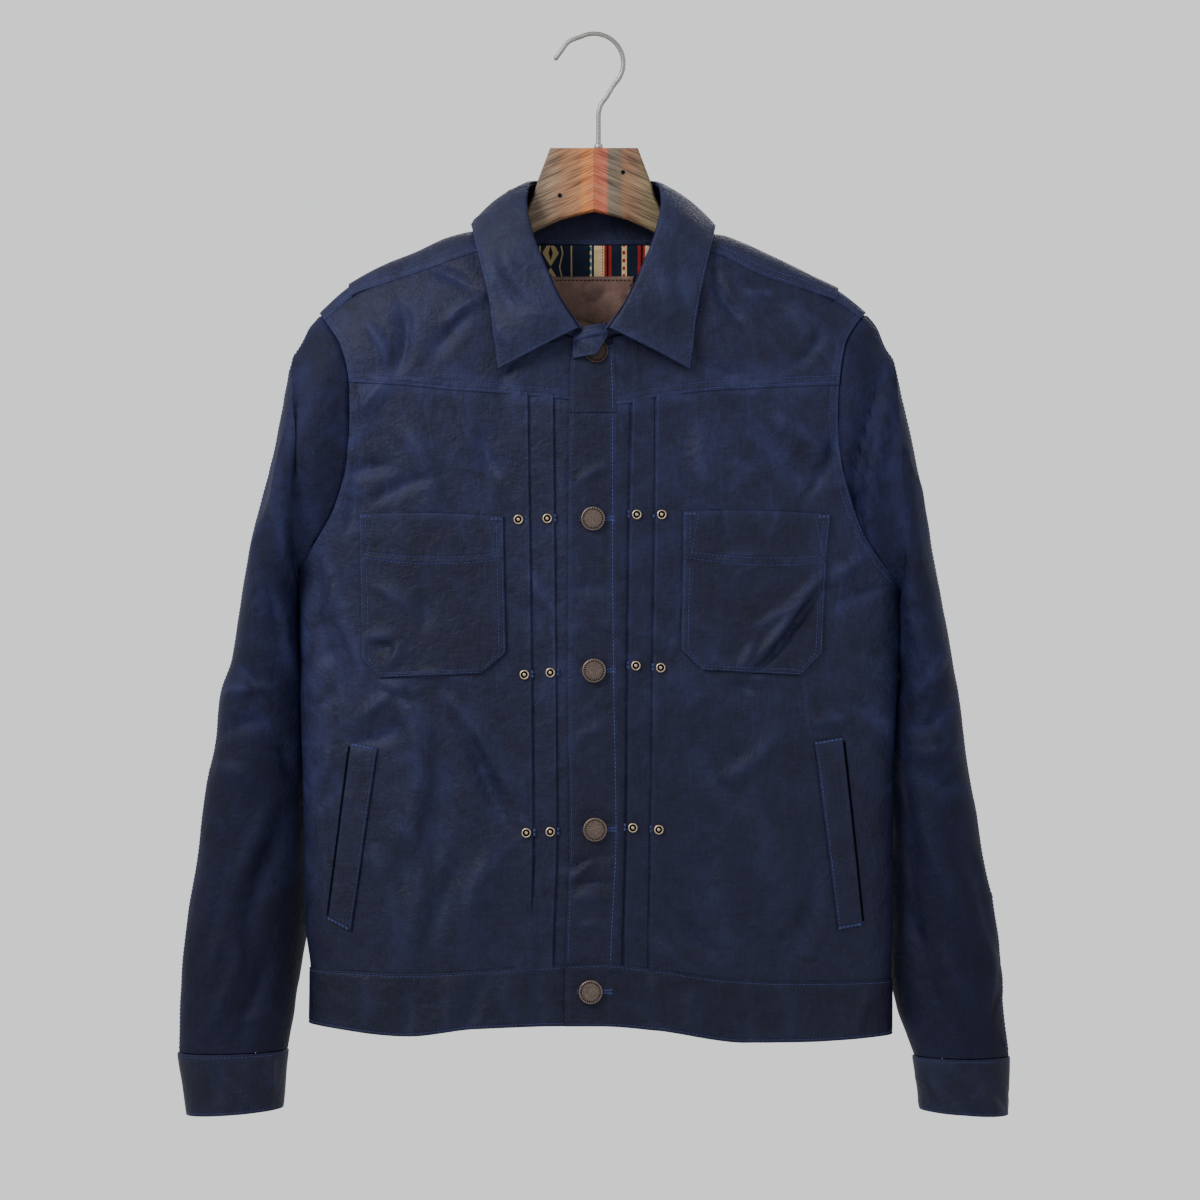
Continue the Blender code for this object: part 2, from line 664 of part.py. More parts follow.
def add_back_panel():
    """The back in one piece, with an action pleat at each side, over the crest to the shoulder seam."""
    outward = [0.0, 0.35, 0.7, 1.0, 1.01, 1.5, 2.0, 2.4, 2.7]
    columns = sorted({round(u - 3, 4) for u in outward} | {round(3 - u, 4) for u in outward} | {0.0})

    def column_x(u, z):
        side = "left" if u < 0 else "right"
        sign = SIDES[side]
        outward = 3 - abs(u)
        edge = panel_edge(z, side)
        fold = float(read(BACK_PLEAT, "x", z)) * sign
        if outward < 1:
            return mix(edge, fold + sign * FOLD_FLANK, outward)
        if outward <= 1.01:
            return fold
        if outward <= 2:
            return mix(fold, sign * BACK_NECK, outward - 1)
        return mix(sign * BACK_NECK, 0, outward - 2)

    below_crest = [1.0, 0.87, 0.74, 0.62, 0.5, 0.4, 0.31, 0.23, 0.16, 0.1, 0.055, 0.022, 0.006]
    rows = [-share for share in below_crest] + [0.0, 0.12, 0.4, 1.0]

    def place(u, v, w):
        z = mix(-0.2, -0.75, -v) if v < 0 else -0.21
        for _ in range(6):
            x = column_x(u, z)
            crest = float(read(CREST, "z", x))
            if abs(x) < BACK_NECK - 1e-6:
                crest = float(smooth(abs(x), COLLAR["seam_x"][:4:-1], COLLAR["seam_z"][:4:-1]))
                crest -= NECKLINE_DROP
            if v <= 0:
                z = mix(crest, float(read(BAND_SEAM, "z", x)) + SEAM / 2, -v)
            else:
                z = mix(crest, float(read(SHOULDER_SEAM, "z", x)) + SEAM / 2, v)
        face = BACK if v <= 0 else FRONT
        point = torso_point(x, z, face, back_pleat_lift(x, z) if w else -CLOTH)
        if v >= 0:
            point.y -= GAP / 2 * face
        return point

    def keep(u, v):
        return v < 0 or abs(u) > 1

    cloth("back_panel", columns, rows, place, waxed_cotton, keep)


def add_hem_band():
    """The hem band: two fronts that overlap under the placket, and the back."""

    def place_between(face, left, right, lift):
        def place(u, v, w):
            z = mix(-0.795, -0.745, v)
            for _ in range(4):
                x = mix(left(z), right(z), u)
                z = float(mix(read(HEM, "z", x), read(BAND_SEAM, "z", x) - SEAM / 2, v))
            return torso_point(x, z, face, lift + (BAND - CLOTH if w else -CLOTH))

        return place

    def side_edge(side):
        return lambda z: panel_edge(z, side)

    ends = [0, 0.01, 0.03, 0.07, 0.13, 0.21, 0.32, 0.46, 0.6, 0.75, 0.88, 1.0]
    rows = even(3)
    left = place_between(FRONT, side_edge("left"), lambda z: BAND_LAP, 0)
    cloth("hem_band_left", ends, rows, left, waxed_cotton)
    right_ends = [1 - u for u in ends[::-1]]

    def place_right(u, v, w):
        start = float(read(FRONT_LINES, "placket_left", -0.77))
        z = mix(-0.795, -0.745, v)
        for _ in range(4):
            x = mix(start, panel_edge(z, "right"), u)
            z = float(mix(read(HEM, "z", x), read(BAND_SEAM, "z", x) - SEAM / 2, v))
        over = float(np.clip((BAND_LAP + 0.0148 - x) / 0.012, 0, 1))
        inner = mix(-CLOTH, BAND - CLOTH + GAP, over)
        return torso_point(x, z, FRONT, mix(BAND - CLOTH, BAND_OVER, over) if w else inner)

    right_columns = sorted(set(right_ends) | {0.05, 0.09, 0.135, 0.19})
    cloth("hem_band_right", right_columns, rows, place_right, waxed_cotton)
    full = sorted({u / 2 for u in ends} | {1 - u / 2 for u in ends})
    back = place_between(BACK, side_edge("left"), side_edge("right"), 0)
    cloth("hem_band_back", full, rows, back, waxed_cotton)


# --- Collar --------------------------------------------------------------------------------------


def collar_point(share, line):
    """A point of the collar's seam, roll or edge, share from -1 at the left front to 1 at the right."""
    round_neck = 1 - abs(share)
    coordinates = [float(smooth(round_neck, COLLAR["share"], COLLAR[f"{line}_{axis}"]))
                   for axis in "xyz"]
    coordinates[0] *= 1 if share > 0 else -1
    return Vector(coordinates)


def collar_surface(share, across, start, end, bow):
    """From one line of the collar to another, bowed outward between them."""
    a, b = collar_point(share, start), collar_point(share, end)
    step = 0.004
    side_step = collar_point(min(share + step, 1), end) - collar_point(max(share - step, -1), end)
    out = side_step.cross(a - b).normalized()
    if out.dot(Vector((b.x, b.y + NECK_AXIS, 0))) < 0:
        out.negate()
    return a.lerp(b, across) + out * (4 * bow * across * (1 - across))


def add_collar():
    """The collar's stand round the neck and the leaf that falls over it."""
    front = [0.0, 0.06, 0.12, 0.19, 0.26, 0.33, 0.40, 0.46, 0.52, 0.57, 0.62, 0.68, 0.74, 0.8, 0.87, 0.94]
    columns = [share - 1 for share in front] + [0.0] + [1 - share for share in front[::-1]]
    columns = sorted({round(u, 4) for u in columns})

    def thick(u, v, w, line, thickness):
        step = 0.002
        a, b = max(u - step, -1), min(u + step, 1)
        c, d = max(v - step, 0), min(v + step, 1)
        along = line(b, v) - line(a, v)
        across = line(u, d) - line(u, c)
        out = along.cross(across).normalized()
        return line(u, v) + out * (w - 0.5) * thickness

    def leaf(share, across):
        return collar_surface(share, across, "roll", "edge", LEAF_BOW)

    def stand(share, across):
        point = collar_surface(share, mix(1.0, 0.12, across), "roll", "seam", 0.0)
        inward = Vector((-point.x, -point.y * 0.2, 0)).normalized()
        return point + inward * (0.0026 * across)

    cloth("collar_leaf", columns, even(4),
          lambda u, v, w: thick(u, v, 1 - w, leaf, LEAF), waxed_cotton)
    cloth("collar_stand", columns, even(2),
          lambda u, v, w: thick(u, v, w, stand, STAND), waxed_cotton)


# --- Sleeves and cuffs ---------------------------------------------------------------------------


def sleeve_section(side, section, angle):
    """A point of one section: angle 0 on its outer side, positive round the front, pi inside."""
    if section == 0:
        share = abs(angle) / math.pi
        if share > 1:
            share, angle = 2 - share, -angle
        x = float(read(ARMHOLE, side + "_x", share))
        z = float(read(ARMHOLE, side + "_z", share))
        face = FRONT if angle > 0 else BACK
        y = face * float(depth(z, face)) * math.sqrt(max(float(fullness(x, z)), 0.0))
        return Vector((x, y, z))
    row = {name: values[section - 1] for name, values in SLEEVES[side].items()}
    outer = (1 + math.cos(angle)) / 2
    y = row["mid"] - row["depth"] * math.sin(angle) + row["swing"] * (1 - outer) ** 2
    return Vector((mix(row["in_x"], row["out_x"], outer), y, mix(row["in_z"], row["out_z"], outer)))


def sleeve_point(side, section, angle, lift):
    """A point of the sleeve, lifted out of the cloth's outer face."""
    here = sleeve_section(side, section, angle)
    last = len(SLEEVES[side]["out_x"])
    step = 0.02
    round_arm = sleeve_section(side, section, angle + step) - sleeve_section(
        side, section, angle - step
    )
    down = sleeve_section(side, min(section + 1, last), angle) - sleeve_section(
        side, max(section - 1, 0), angle
    )
    out = round_arm.cross(down).normalized() * SIDES[side]
    if section == 0:
        face = FRONT if angle > 0 else BACK
        panel_out = torso_normal(here.x, here.y, here.z, face)
        outward = Vector((SIDES[side], 0, 0))
        away = round_arm.cross(panel_out).normalized()
        if away.dot(outward) < 0:
            away.negate()
        armpit = float(np.clip((abs(angle) / math.pi - 0.72) / 0.2, 0, 1))
        away = away.lerp(outward, armpit).normalized()
        out = panel_out.lerp(out, armpit).normalized()
        return here + away * SLEEVE_SEAM + out * lift
    if section <= SLEEVE_END:
        lift += float(fold_depth(here.x, here.z)) * abs(math.sin(angle))
    return here + out * lift


def add_sleeve(side):
    """A two-piece sleeve, sewn down its outer and inner edges, and its cuff."""
    turns = [0, 0.08, 0.17, 0.27, 0.38, 0.5, 0.62, 0.73, 0.83, 0.92, 1.0]
    sections = list(range(SLEEVE_END + 1))

    def half(face):
        def place(u, v, w):
            angle = math.pi * u * -face
            if u == 0:
                angle = 1e-6 * -face
            point = sleeve_point(side, round(v), angle, 0 if w else -CLOTH)
            edge = 1 - min(1, 12 * min(u, 1 - u))
            point.y += face * GAP / 2 * edge
            return point

        return place

    cloth("sleeve_front_" + side, turns, sections, half(FRONT), waxed_cotton)
    cloth("sleeve_back_" + side, turns, sections, half(BACK), waxed_cotton)

    def cuff(u, v, w):
        start = (CUFF_SLIT - 1) * math.pi
        angle = mix(start, start + 2 * math.pi - SLIT_ANGLE, u)
        top = sleeve_point(side, CUFF_START, angle, BAND - CLOTH if w else -CLOTH)
        bottom = sleeve_point(side, CUFF_END, angle, BAND - CLOTH if w else -CLOTH)
        return top.lerp(bottom, v)

    cloth("cuff_" + side, even(20), even(2), cuff, waxed_cotton)


# --- Pieces laid on the cloth --------------------------------------------------------------------


def add_patch(name, edges, columns, sag_top, sag_bottom, material):
    """A flat piece sewn on a front, between the left and right edges of its table."""
    rows = [float(i) for i in range(len(edges["left_x"]))]
    knots = np.array(rows)

    def place(u, v, w):
        corner = {column: float(np.interp(v, knots, edges[column])) for column in edges}
        x = mix(corner["left_x"], corner["right_x"], u)
        z = mix(corner["left_z"], corner["right_z"], u)
        dip = 4 * u * (1 - u)
        share = v / knots[-1]
        z -= dip * mix(sag_top, sag_bottom, share)
        lift = max(front_face(x, z), 0) + 2 * GAP
        return torso_point(x, z, FRONT, lift + (LAID_ON if w else 0))

    cloth(name, columns, rows, place, material)


def add_front_pieces():
    """Chest pockets with their top bands, and the welts of the slanted side pockets."""
    wide = even(8)
    for side, body, top in (
        ("left", POCKET_LEFT, POCKET_TOP_LEFT),
        ("right", POCKET_RIGHT, POCKET_TOP_RIGHT),
    ):
        add_patch("pocket_" + side, body, wide, POCKET_SAG + GAP, 0.0, waxed_cotton)
        add_patch("pocket_top_" + side, top, wide, -0.0015, POCKET_SAG - GAP, waxed_cotton)
    add_patch("welt_left", WELT_LEFT, even(2), 0.0, 0.0, waxed_cotton)
    add_patch("welt_right", WELT_RIGHT, even(2), 0.0, 0.0, waxed_cotton)


def seat(obj, x, z, lift):
    """Stand a turned piece on the cloth, its axis straight out."""
    base = torso_point(x, z, FRONT, lift)
    normal = torso_normal(x, base.y, z, FRONT)
    obj.location = base
    obj.rotation_euler = normal.to_track_quat("Z", "Y").to_euler()


def add_fastenings():
    """Five tack buttons down the placket, and a rivet at each bar of the pleats."""
    r, h = BUTTON_RADIUS, BUTTON_HEIGHT
    button = [(0, h * 0.72), (r * 0.62, h * 0.72), (r * 0.80, h), (r * 0.94, h * 0.9),
              (r, h * 0.62), (r * 0.9, h * 0.3), (r * 0.45, h * 0.2), (r * 0.45, 0), (0, 0)]
    for number, (x, z) in enumerate(zip(BUTTONS["x"], BUTTONS["z"])):
        obj = turned(f"button_{number}", button, 18, button_metal)
        top_of_placket = GAP + YOKE_STEP * 0.3 + LAID_ON
        if z > -0.33:
            top_of_placket = YOKE_STEP + GAP + LAID_ON
        if z < -0.74:
            top_of_placket = BAND_OVER
        seat(obj, float(x), float(z), top_of_placket + GAP)
    r, h = RIVET_RADIUS, RIVET_HEIGHT
    rivet = [(0, h * 0.5), (r * 0.4, h * 0.5), (r * 0.62, h), (r, h * 0.4), (r, 0), (0, 0)]
    for number, (x, z) in enumerate(zip(RIVETS["x"], RIVETS["z"])):
        obj = turned(f"rivet_{number:02d}", rivet, 10, rivet_metal)
        seat(obj, float(x), float(z), pleat_lift(float(x), float(z)) + 2 * GAP)


def add_inside_back():
    """The lining that shows inside the neck, and the bare leather patch sewn on it."""

    def place_on(left, right, bottom, top, inner, thickness):
        def place(u, v, w):
            x, z = mix(left, right, u), mix(bottom, top, v)
            return torso_point(x, z, BACK, -inner - (0 if w else thickness))

        return place

    lining_at = CLOTH + SEAM
    lining = place_on(-0.075, 0.075, -0.2560, -0.1720, lining_at, 0.0010)
    cloth("neck_lining", even(8), even(6), lining, lining_cloth)
    label = place_on(-0.0359, 0.0324, -0.2400, -0.1895, lining_at + 0.0010 + GAP, 0.0016)
    cloth("leather_patch", even(6), even(4), label, brown_leather)


# --- Hanger --------------------------------------------------------------------------------------


def hanger_half(sign):
    """One half of the wood's outline, from the top of its neck round the arm to its underside."""
    arm = even(9, 0.066, 0.192)
    half = [(sign * x, z) for x, z in zip(HANGER_NECK["x"], HANGER_NECK["z"])]
    for x in arm:
        under_crest = ARM_UNDER_CREST + ARM_TIP_DROP * (x - arm[0]) / (arm[-1] - arm[0])
        half.append((sign * x, float(read(CREST, "z", sign * x)) - under_crest))
    tip = half[-1][1]
    half += [(sign * 0.1950, tip - 0.0060), (sign * 0.1890, tip - 0.0110)]
    return half + [(sign * x, z) for x, z in zip(HANGER_UNDER["x"], HANGER_UNDER["z"])]


def add_hanger():
    """A flat wooden hanger whose arms carry the shoulders, and its wire hook."""
    outline = hanger_half(1) + [(0.0000, HANGER_MIDDLE)] + hanger_half(-1)[::-1]
    curve = bpy.data.curves.new("hanger_wood", "CURVE")
    curve.dimensions = "2D"
    curve.fill_mode = "BOTH"
    curve.extrude = WOOD_THICKNESS / 2
    spline = curve.splines.new("POLY")
    spline.points.add(len(outline) - 1)
    for point, (x, z) in zip(spline.points, outline):
        point.co = (x, z, 0, 1)
    spline.use_cyclic_u = True
    wood = add_object("hanger_wood", curve, hanger_wood)
    wood.rotation_euler = (math.pi / 2, 0, 0)
    weld = wood.modifiers.new("Weld", "WELD")
    weld.merge_threshold = 0.00005
    bevel = wood.modifiers.new("Bevel", "BEVEL")
    bevel.width = 0.0015
    bevel.segments = 1
    bevel.limit_method = "ANGLE"
    bevel.angle_limit = math.radians(70)

    centre = WIRE_RADIUS - HOOK_RADIUS
    route = [(-0.0315, -0.0195), (-0.0262, -0.0120), (-0.0200, -0.0045)]
    for degrees in range(115, -46, -16):
        turn = math.radians(degrees)
        route.append((HOOK_RADIUS * math.cos(turn), centre + HOOK_RADIUS * math.sin(turn)))
    route += [(0.0098, -0.0492), (0.0052, -0.0560), (STEM_X, -0.0630), (STEM_X, WOOD_TOP + GAP)]
    curve = bpy.data.curves.new("hanger_hook", "CURVE")
    curve.dimensions = "3D"
    curve.bevel_depth = WIRE_RADIUS
    curve.bevel_resolution = 2
    curve.use_fill_caps = True
    spline = curve.splines.new("POLY")
    spline.points.add(len(route) - 1)
    for point, (x, z) in zip(spline.points, route):
        point.co = (x, 0, z, 1)
    add_object("hanger_hook", curve, hook_wire)


# --- The jacket ----------------------------------------------------------------------------------

clear_scene()
jacket = bpy.data.collections.new("waxed_cotton_jacket")
bpy.context.scene.collection.children.link(jacket)
waxed_cotton = new_material("waxed_cotton", (0.026, 0.031, 0.062), 0.55)
lining_cloth = new_material("lining_cloth", (0.020, 0.030, 0.055), 0.85)
brown_leather = new_material("brown_leather", (0.090, 0.045, 0.030), 0.60)
button_metal = new_material("button_metal", (0.200, 0.140, 0.110), 0.40, 1.0)
rivet_metal = new_material("rivet_metal", (0.300, 0.240, 0.150), 0.35, 1.0)
hanger_wood = new_material("hanger_wood", (0.300, 0.140, 0.070), 0.60)
hook_wire = new_material("hook_wire", (0.250, 0.240, 0.220), 0.35, 1.0)

for side in SIDES:
    add_front_panel(side)
    add_front_yoke(side)
    add_sleeve(side)
add_placket()
add_back_panel()
add_hem_band()
add_collar()
add_front_pieces()
add_fastenings()
add_inside_back()
add_hanger()
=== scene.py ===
"""The looks of the waxed cotton jacket on its hanger: finer cloth on the solids' form, with its
creases, stitching, fastenings, lining, wood and finishes. Metres, the same frame as the solids."""

import math

import bmesh
import bpy
import numpy as np
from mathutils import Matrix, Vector


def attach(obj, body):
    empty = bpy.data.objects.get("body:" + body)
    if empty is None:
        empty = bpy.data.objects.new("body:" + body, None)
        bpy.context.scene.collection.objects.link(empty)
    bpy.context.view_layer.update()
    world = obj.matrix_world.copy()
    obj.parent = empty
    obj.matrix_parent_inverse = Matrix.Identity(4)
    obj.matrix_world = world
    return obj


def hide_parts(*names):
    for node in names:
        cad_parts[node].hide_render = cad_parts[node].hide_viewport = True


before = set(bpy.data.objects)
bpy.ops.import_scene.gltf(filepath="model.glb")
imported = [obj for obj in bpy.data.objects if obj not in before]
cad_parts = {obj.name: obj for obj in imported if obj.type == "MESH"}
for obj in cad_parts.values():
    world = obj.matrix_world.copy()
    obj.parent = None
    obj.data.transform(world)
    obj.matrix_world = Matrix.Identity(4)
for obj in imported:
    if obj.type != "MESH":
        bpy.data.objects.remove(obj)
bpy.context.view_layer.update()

# Cloth and its seams
GAP = 0.0003  # between two pieces that are sewn or laid together
SEAM = 0.0012  # between curved seam edges, whose facets differ
CLOTH = 0.0020  # waxed cotton shell with its lining
BAND = 0.0032  # hem band and cuffs, folded double
BAND_OVER = 0.0040  # the hem band's upper end, above the body's form, where it is buttoned over
LEAF = 0.0020  # collar leaf
STAND = 0.0016  # collar stand
LAID_ON = 0.0018  # pockets, welts and placket, above the panel under them
YOKE_STEP = 0.0010  # the yoke's folded edge stands above the panel below it
PLEAT_STEP = 0.0019  # a knife pleat's fold stands above the strip beside it
UNDERLAP = 0.0135  # the left front reaches this far right of the centre, under the placket
BAND_LAP = 0.0115  # and its hem band this far
BAND_SEAT = GAP + YOKE_STEP * 0.3  # height of the panels under the placket
FRONT_NECK = 0.0868  # half the width of the neck opening, on the fronts
BACK_NECK = 0.0890  # and on the back
PLEAT_ROUND = 0.0010  # radius of a pleat's folded edge
FOLDED = 0.0012  # radius of a piece's folded edge
SINK = 0.0004  # how far a row of stitches sinks into the cloth
INNER_PLEAT = 0.78  # the inner pleat's depth, as a share of the outer's

# Torso section: |x|^SIDE_POWER + y^2 = 1, closing over the shoulders within CREST_DROP
SIDE_POWER = 2.6
CREST_DROP = 0.080

# Fastenings
BUTTON_RADIUS = 0.0095
BUTTON_HEIGHT = 0.0042
RIVET_RADIUS = 0.0040
RIVET_HEIGHT = 0.0014

# Hanger
WIRE_RADIUS = 0.00185
HOOK_RADIUS = 0.0235
STEM_X = 0.0036
WOOD_THICKNESS = 0.012
WOOD_TOP = -0.0900


def table(names, *rows):
    """A short table, as the values of each column under its name."""
    return dict(zip(names.split(), np.array(rows, float).T))


# Side edges of the body and how far its front and back stand out, from the shoulders to the hem
BODY = table(
    "z left right front back",
    (-0.1400, -0.2500, 0.2500, 0.0440, 0.0290),
    (-0.2600, -0.2520, 0.2520, 0.0470, 0.0310),
    (-0.3500, -0.2500, 0.2540, 0.0490, 0.0320),
    (-0.4000, -0.2450, 0.2530, 0.0490, 0.0320),
    (-0.4262, -0.2398, 0.2510, 0.0490, 0.0320),
    (-0.4440, -0.2368, 0.2490, 0.0490, 0.0320),
    (-0.5312, -0.2350, 0.2424, 0.0490, 0.0315),
    (-0.6230, -0.2322, 0.2392, 0.0480, 0.0310),
    (-0.7072, -0.2312, 0.2390, 0.0460, 0.0300),
    (-0.7496, -0.2266, 0.2378, 0.0440, 0.0290),
    (-0.8100, -0.2276, 0.2376, 0.0440, 0.0290),
)

# Top of the shoulders, from the left shoulder point to the right
CREST = table(
    "x z",
    (-0.2600, -0.2620),
    (-0.2192, -0.2224),
    (-0.1980, -0.2032),
    (-0.1715, -0.1855),
    (-0.1424, -0.1736),
    (-0.1158, -0.1616),
    (-0.0960, -0.1570),
    (0.0000, -0.1520),
    (0.1018, -0.1600),
    (0.1164, -0.1650),
    (0.1430, -0.1770),
    (0.1694, -0.1900),
    (0.1934, -0.2034),
    (0.2172, -0.2220),
    (0.2600, -0.2620),
)

# Shoulder seam, in front of the crest
SHOULDER_SEAM = table(
    "x z",
    (-0.2149, -0.2290),
    (-0.1863, -0.2069),
    (-0.1542, -0.1965),
    (-0.0954, -0.1765),
    (-0.0860, -0.1740),
    (0.0860, -0.1740),
    (0.1013, -0.1784),
    (0.1289, -0.1925),
    (0.1883, -0.2120),
    (0.2131, -0.2270),
)

# Armhole seam from the crest to the armpit
ARMHOLE = table(
    "share left_x left_z right_x right_z",
    (0.00, -0.2188, -0.2226, 0.2168, -0.2222),
    (0.08, -0.2120, -0.2325, 0.2085, -0.2320),
    (0.18, -0.2010, -0.2500, 0.1990, -0.2500),
    (0.32, -0.1943, -0.2785, 0.1946, -0.2785),
    (0.46, -0.1940, -0.3094, 0.1937, -0.3094),
    (0.60, -0.1966, -0.3420, 0.1965, -0.3420),
    (0.73, -0.2044, -0.3720, 0.2043, -0.3720),
    (0.84, -0.2166, -0.3969, 0.2150, -0.3990),
    (0.93, -0.2304, -0.4159, 0.2300, -0.4220),
    (1.00, -0.2398, -0.4262, 0.2490, -0.4440),
)

# Seams and edges that run across the body
YOKE_SEAM = table(
    "x z",
    (-0.1960, -0.2790),
    (-0.1532, -0.2816),
    (-0.1140, -0.2856),
    (-0.0617, -0.2895),
    (-0.0204, -0.2934),
    (0.0174, -0.2974),
    (0.0500, -0.2915),
    (0.0886, -0.2868),
    (0.1409, -0.2836),
    (0.1960, -0.2810),
)
BAND_SEAM = table(
    "x z",
    (-0.2280, -0.7446),
    (-0.1488, -0.7466),
    (-0.0739, -0.7423),
    (-0.0314, -0.7392),
    (0.0048, -0.7375),
    (0.0426, -0.7412),
    (0.1168, -0.7512),
    (0.1674, -0.7530),
    (0.2380, -0.7538),
)
HEM = table(
    "x z",
    (-0.2280, -0.7891),
    (-0.1488, -0.7963),
    (-0.0946, -0.7900),
    (-0.0223, -0.7873),
    (0.0048, -0.7873),
    (0.0500, -0.7909),
    (0.1222, -0.8008),
    (0.1674, -0.8008),
    (0.2380, -0.7981),
)

# The fold edges of the two knife pleats on each front, and the placket's edges
FRONT_LINES = table(
    "z outer_left inner_left placket_left placket_right inner_right outer_right",
    (-0.2400, -0.0518, -0.0317, -0.0170, 0.0140, 0.0306, 0.0493),
    (-0.2920, -0.0516, -0.0316, -0.0196, 0.0161, 0.0303, 0.0491),
    (-0.3878, -0.0504, -0.0308, -0.0206, 0.0161, 0.0283, 0.0482),
    (-0.5099, -0.0488, -0.0296, -0.0210, 0.0170, 0.0271, 0.0465),
    (-0.6343, -0.0480, -0.0289, -0.0198, 0.0189, 0.0261, 0.0450),
    (-0.7380, -0.0492, -0.0320, -0.0226, 0.0148, 0.0238, 0.0434),
    (-0.8100, -0.0492, -0.0320, -0.0241, 0.0148, 0.0238, 0.0434),
)
PLACKET_JOIN = -0.3012  # where the placket's upper piece meets the lower
PLEAT_DEPTH = 0.024  # how far a pleat's layers reach back from its fold

# The fold of the back's two action pleats, from the shoulder seam to the hem band
BACK_PLEAT = table(
    "z x",
    (-0.2030, 0.1950),
    (-0.2500, 0.1800),
    (-0.3100, 0.1720),
    (-0.4200, 0.1690),
    (-0.6000, 0.1660),
    (-0.7500, 0.1630),
)

# Collar, from the centre front round to the centre back: its seam on the neckline, the roll
# over which it turns, and the leaf's free edge, whose first row is the collar point
COLLAR = table(
    "share seam_x seam_y seam_z roll_x roll_y roll_z edge_x edge_y edge_z",
    (0.00, 0.0006, -0.0465, -0.2460, 0.0118, -0.0600, -0.2375, 0.0760, -0.0506, -0.2700),
    (0.12, 0.0330, -0.0460, -0.2390, 0.0255, -0.0610, -0.2165, 0.0790, -0.0505, -0.2430),
    (0.26, 0.0590, -0.0440, -0.2190, 0.0395, -0.0550, -0.1850, 0.0835, -0.0480, -0.2130),
    (0.40, 0.0760, -0.0385, -0.1950, 0.0495, -0.0440, -0.1570, 0.0895, -0.0400, -0.1860),
    (0.52, 0.0870, -0.0255, -0.1760, 0.0535, -0.0270, -0.1330, 0.0950, -0.0240, -0.1640),
    (0.62, 0.0885, -0.0010, -0.1555, 0.0515, -0.0060, -0.1180, 0.0975, -0.0010, -0.1525),
    (0.74, 0.0770, 0.0150, -0.1600, 0.0430, 0.0120, -0.1140, 0.0900, 0.0220, -0.1670),
    (0.87, 0.0420, 0.0168, -0.1620, 0.0240, 0.0190, -0.1130, 0.0500, 0.0290, -0.1830),
    (1.00, 0.0000, 0.0168, -0.1620, 0.0000, 0.0210, -0.1125, 0.0000, 0.0315, -0.1880),
)
LEAF_BOW = 0.0040  # how far the leaf stands out between its roll and its edge
NECK_AXIS = 0.010  # the middle of the neck lies this far in front of the origin
COLLAR_HALF = 0.23  # the collar's length from the centre back to its point
LEAF_WIDE, STAND_WIDE = 0.062, 0.036  # and how wide its leaf and its stand are
NECKLINE_DROP = 0.0028  # the panels' neck edge lies this far below the collar's seam

# Sleeves, a row for each section from the sleeve head to the cuff's edge: the outer and the inner
# end of the section, half its depth, its middle, and how far its inner side is swung back
SLEEVE_LEFT = table(
    "out_x out_z in_x in_z depth mid swing",
    (-0.2395, -0.2560, -0.2405, -0.4330, 0.0440, 0.0010, 0.0000),
    (-0.2570, -0.3340, -0.2405, -0.4450, 0.0460, 0.0050, 0.0060),
    (-0.2715, -0.3900, -0.2385, -0.4600, 0.0455, 0.0080, 0.0160),
    (-0.2815, -0.4420, -0.2350, -0.4860, 0.0430, 0.0100, 0.0200),
    (-0.2902, -0.4979, -0.2310, -0.5240, 0.0410, 0.0110, 0.0215),
    (-0.2998, -0.5270, -0.2280, -0.5560, 0.0400, 0.0110, 0.0220),
    (-0.3036, -0.5638, -0.2265, -0.5880, 0.0395, 0.0110, 0.0220),
    (-0.3112, -0.6005, -0.2260, -0.6200, 0.0385, 0.0110, 0.0215),
    (-0.3186, -0.6592, -0.2270, -0.6750, 0.0370, 0.0110, 0.0200),
    (-0.3243, -0.6920, -0.2295, -0.7060, 0.0355, 0.0110, 0.0180),
    (-0.3294, -0.7392, -0.2358, -0.7480, 0.0330, 0.0105, 0.0120),
    (-0.3318, -0.7736, -0.2404, -0.7800, 0.0310, 0.0090, 0.0050),
    (-0.3327, -0.8128, -0.2456, -0.8104, 0.0300, 0.0080, 0.0000),
    (-0.3329, -0.8135, -0.2456, -0.8110, 0.0300, 0.0080, 0.0000),
    (-0.3262, -0.8640, -0.2500, -0.8580, 0.0285, 0.0080, 0.0000),
)
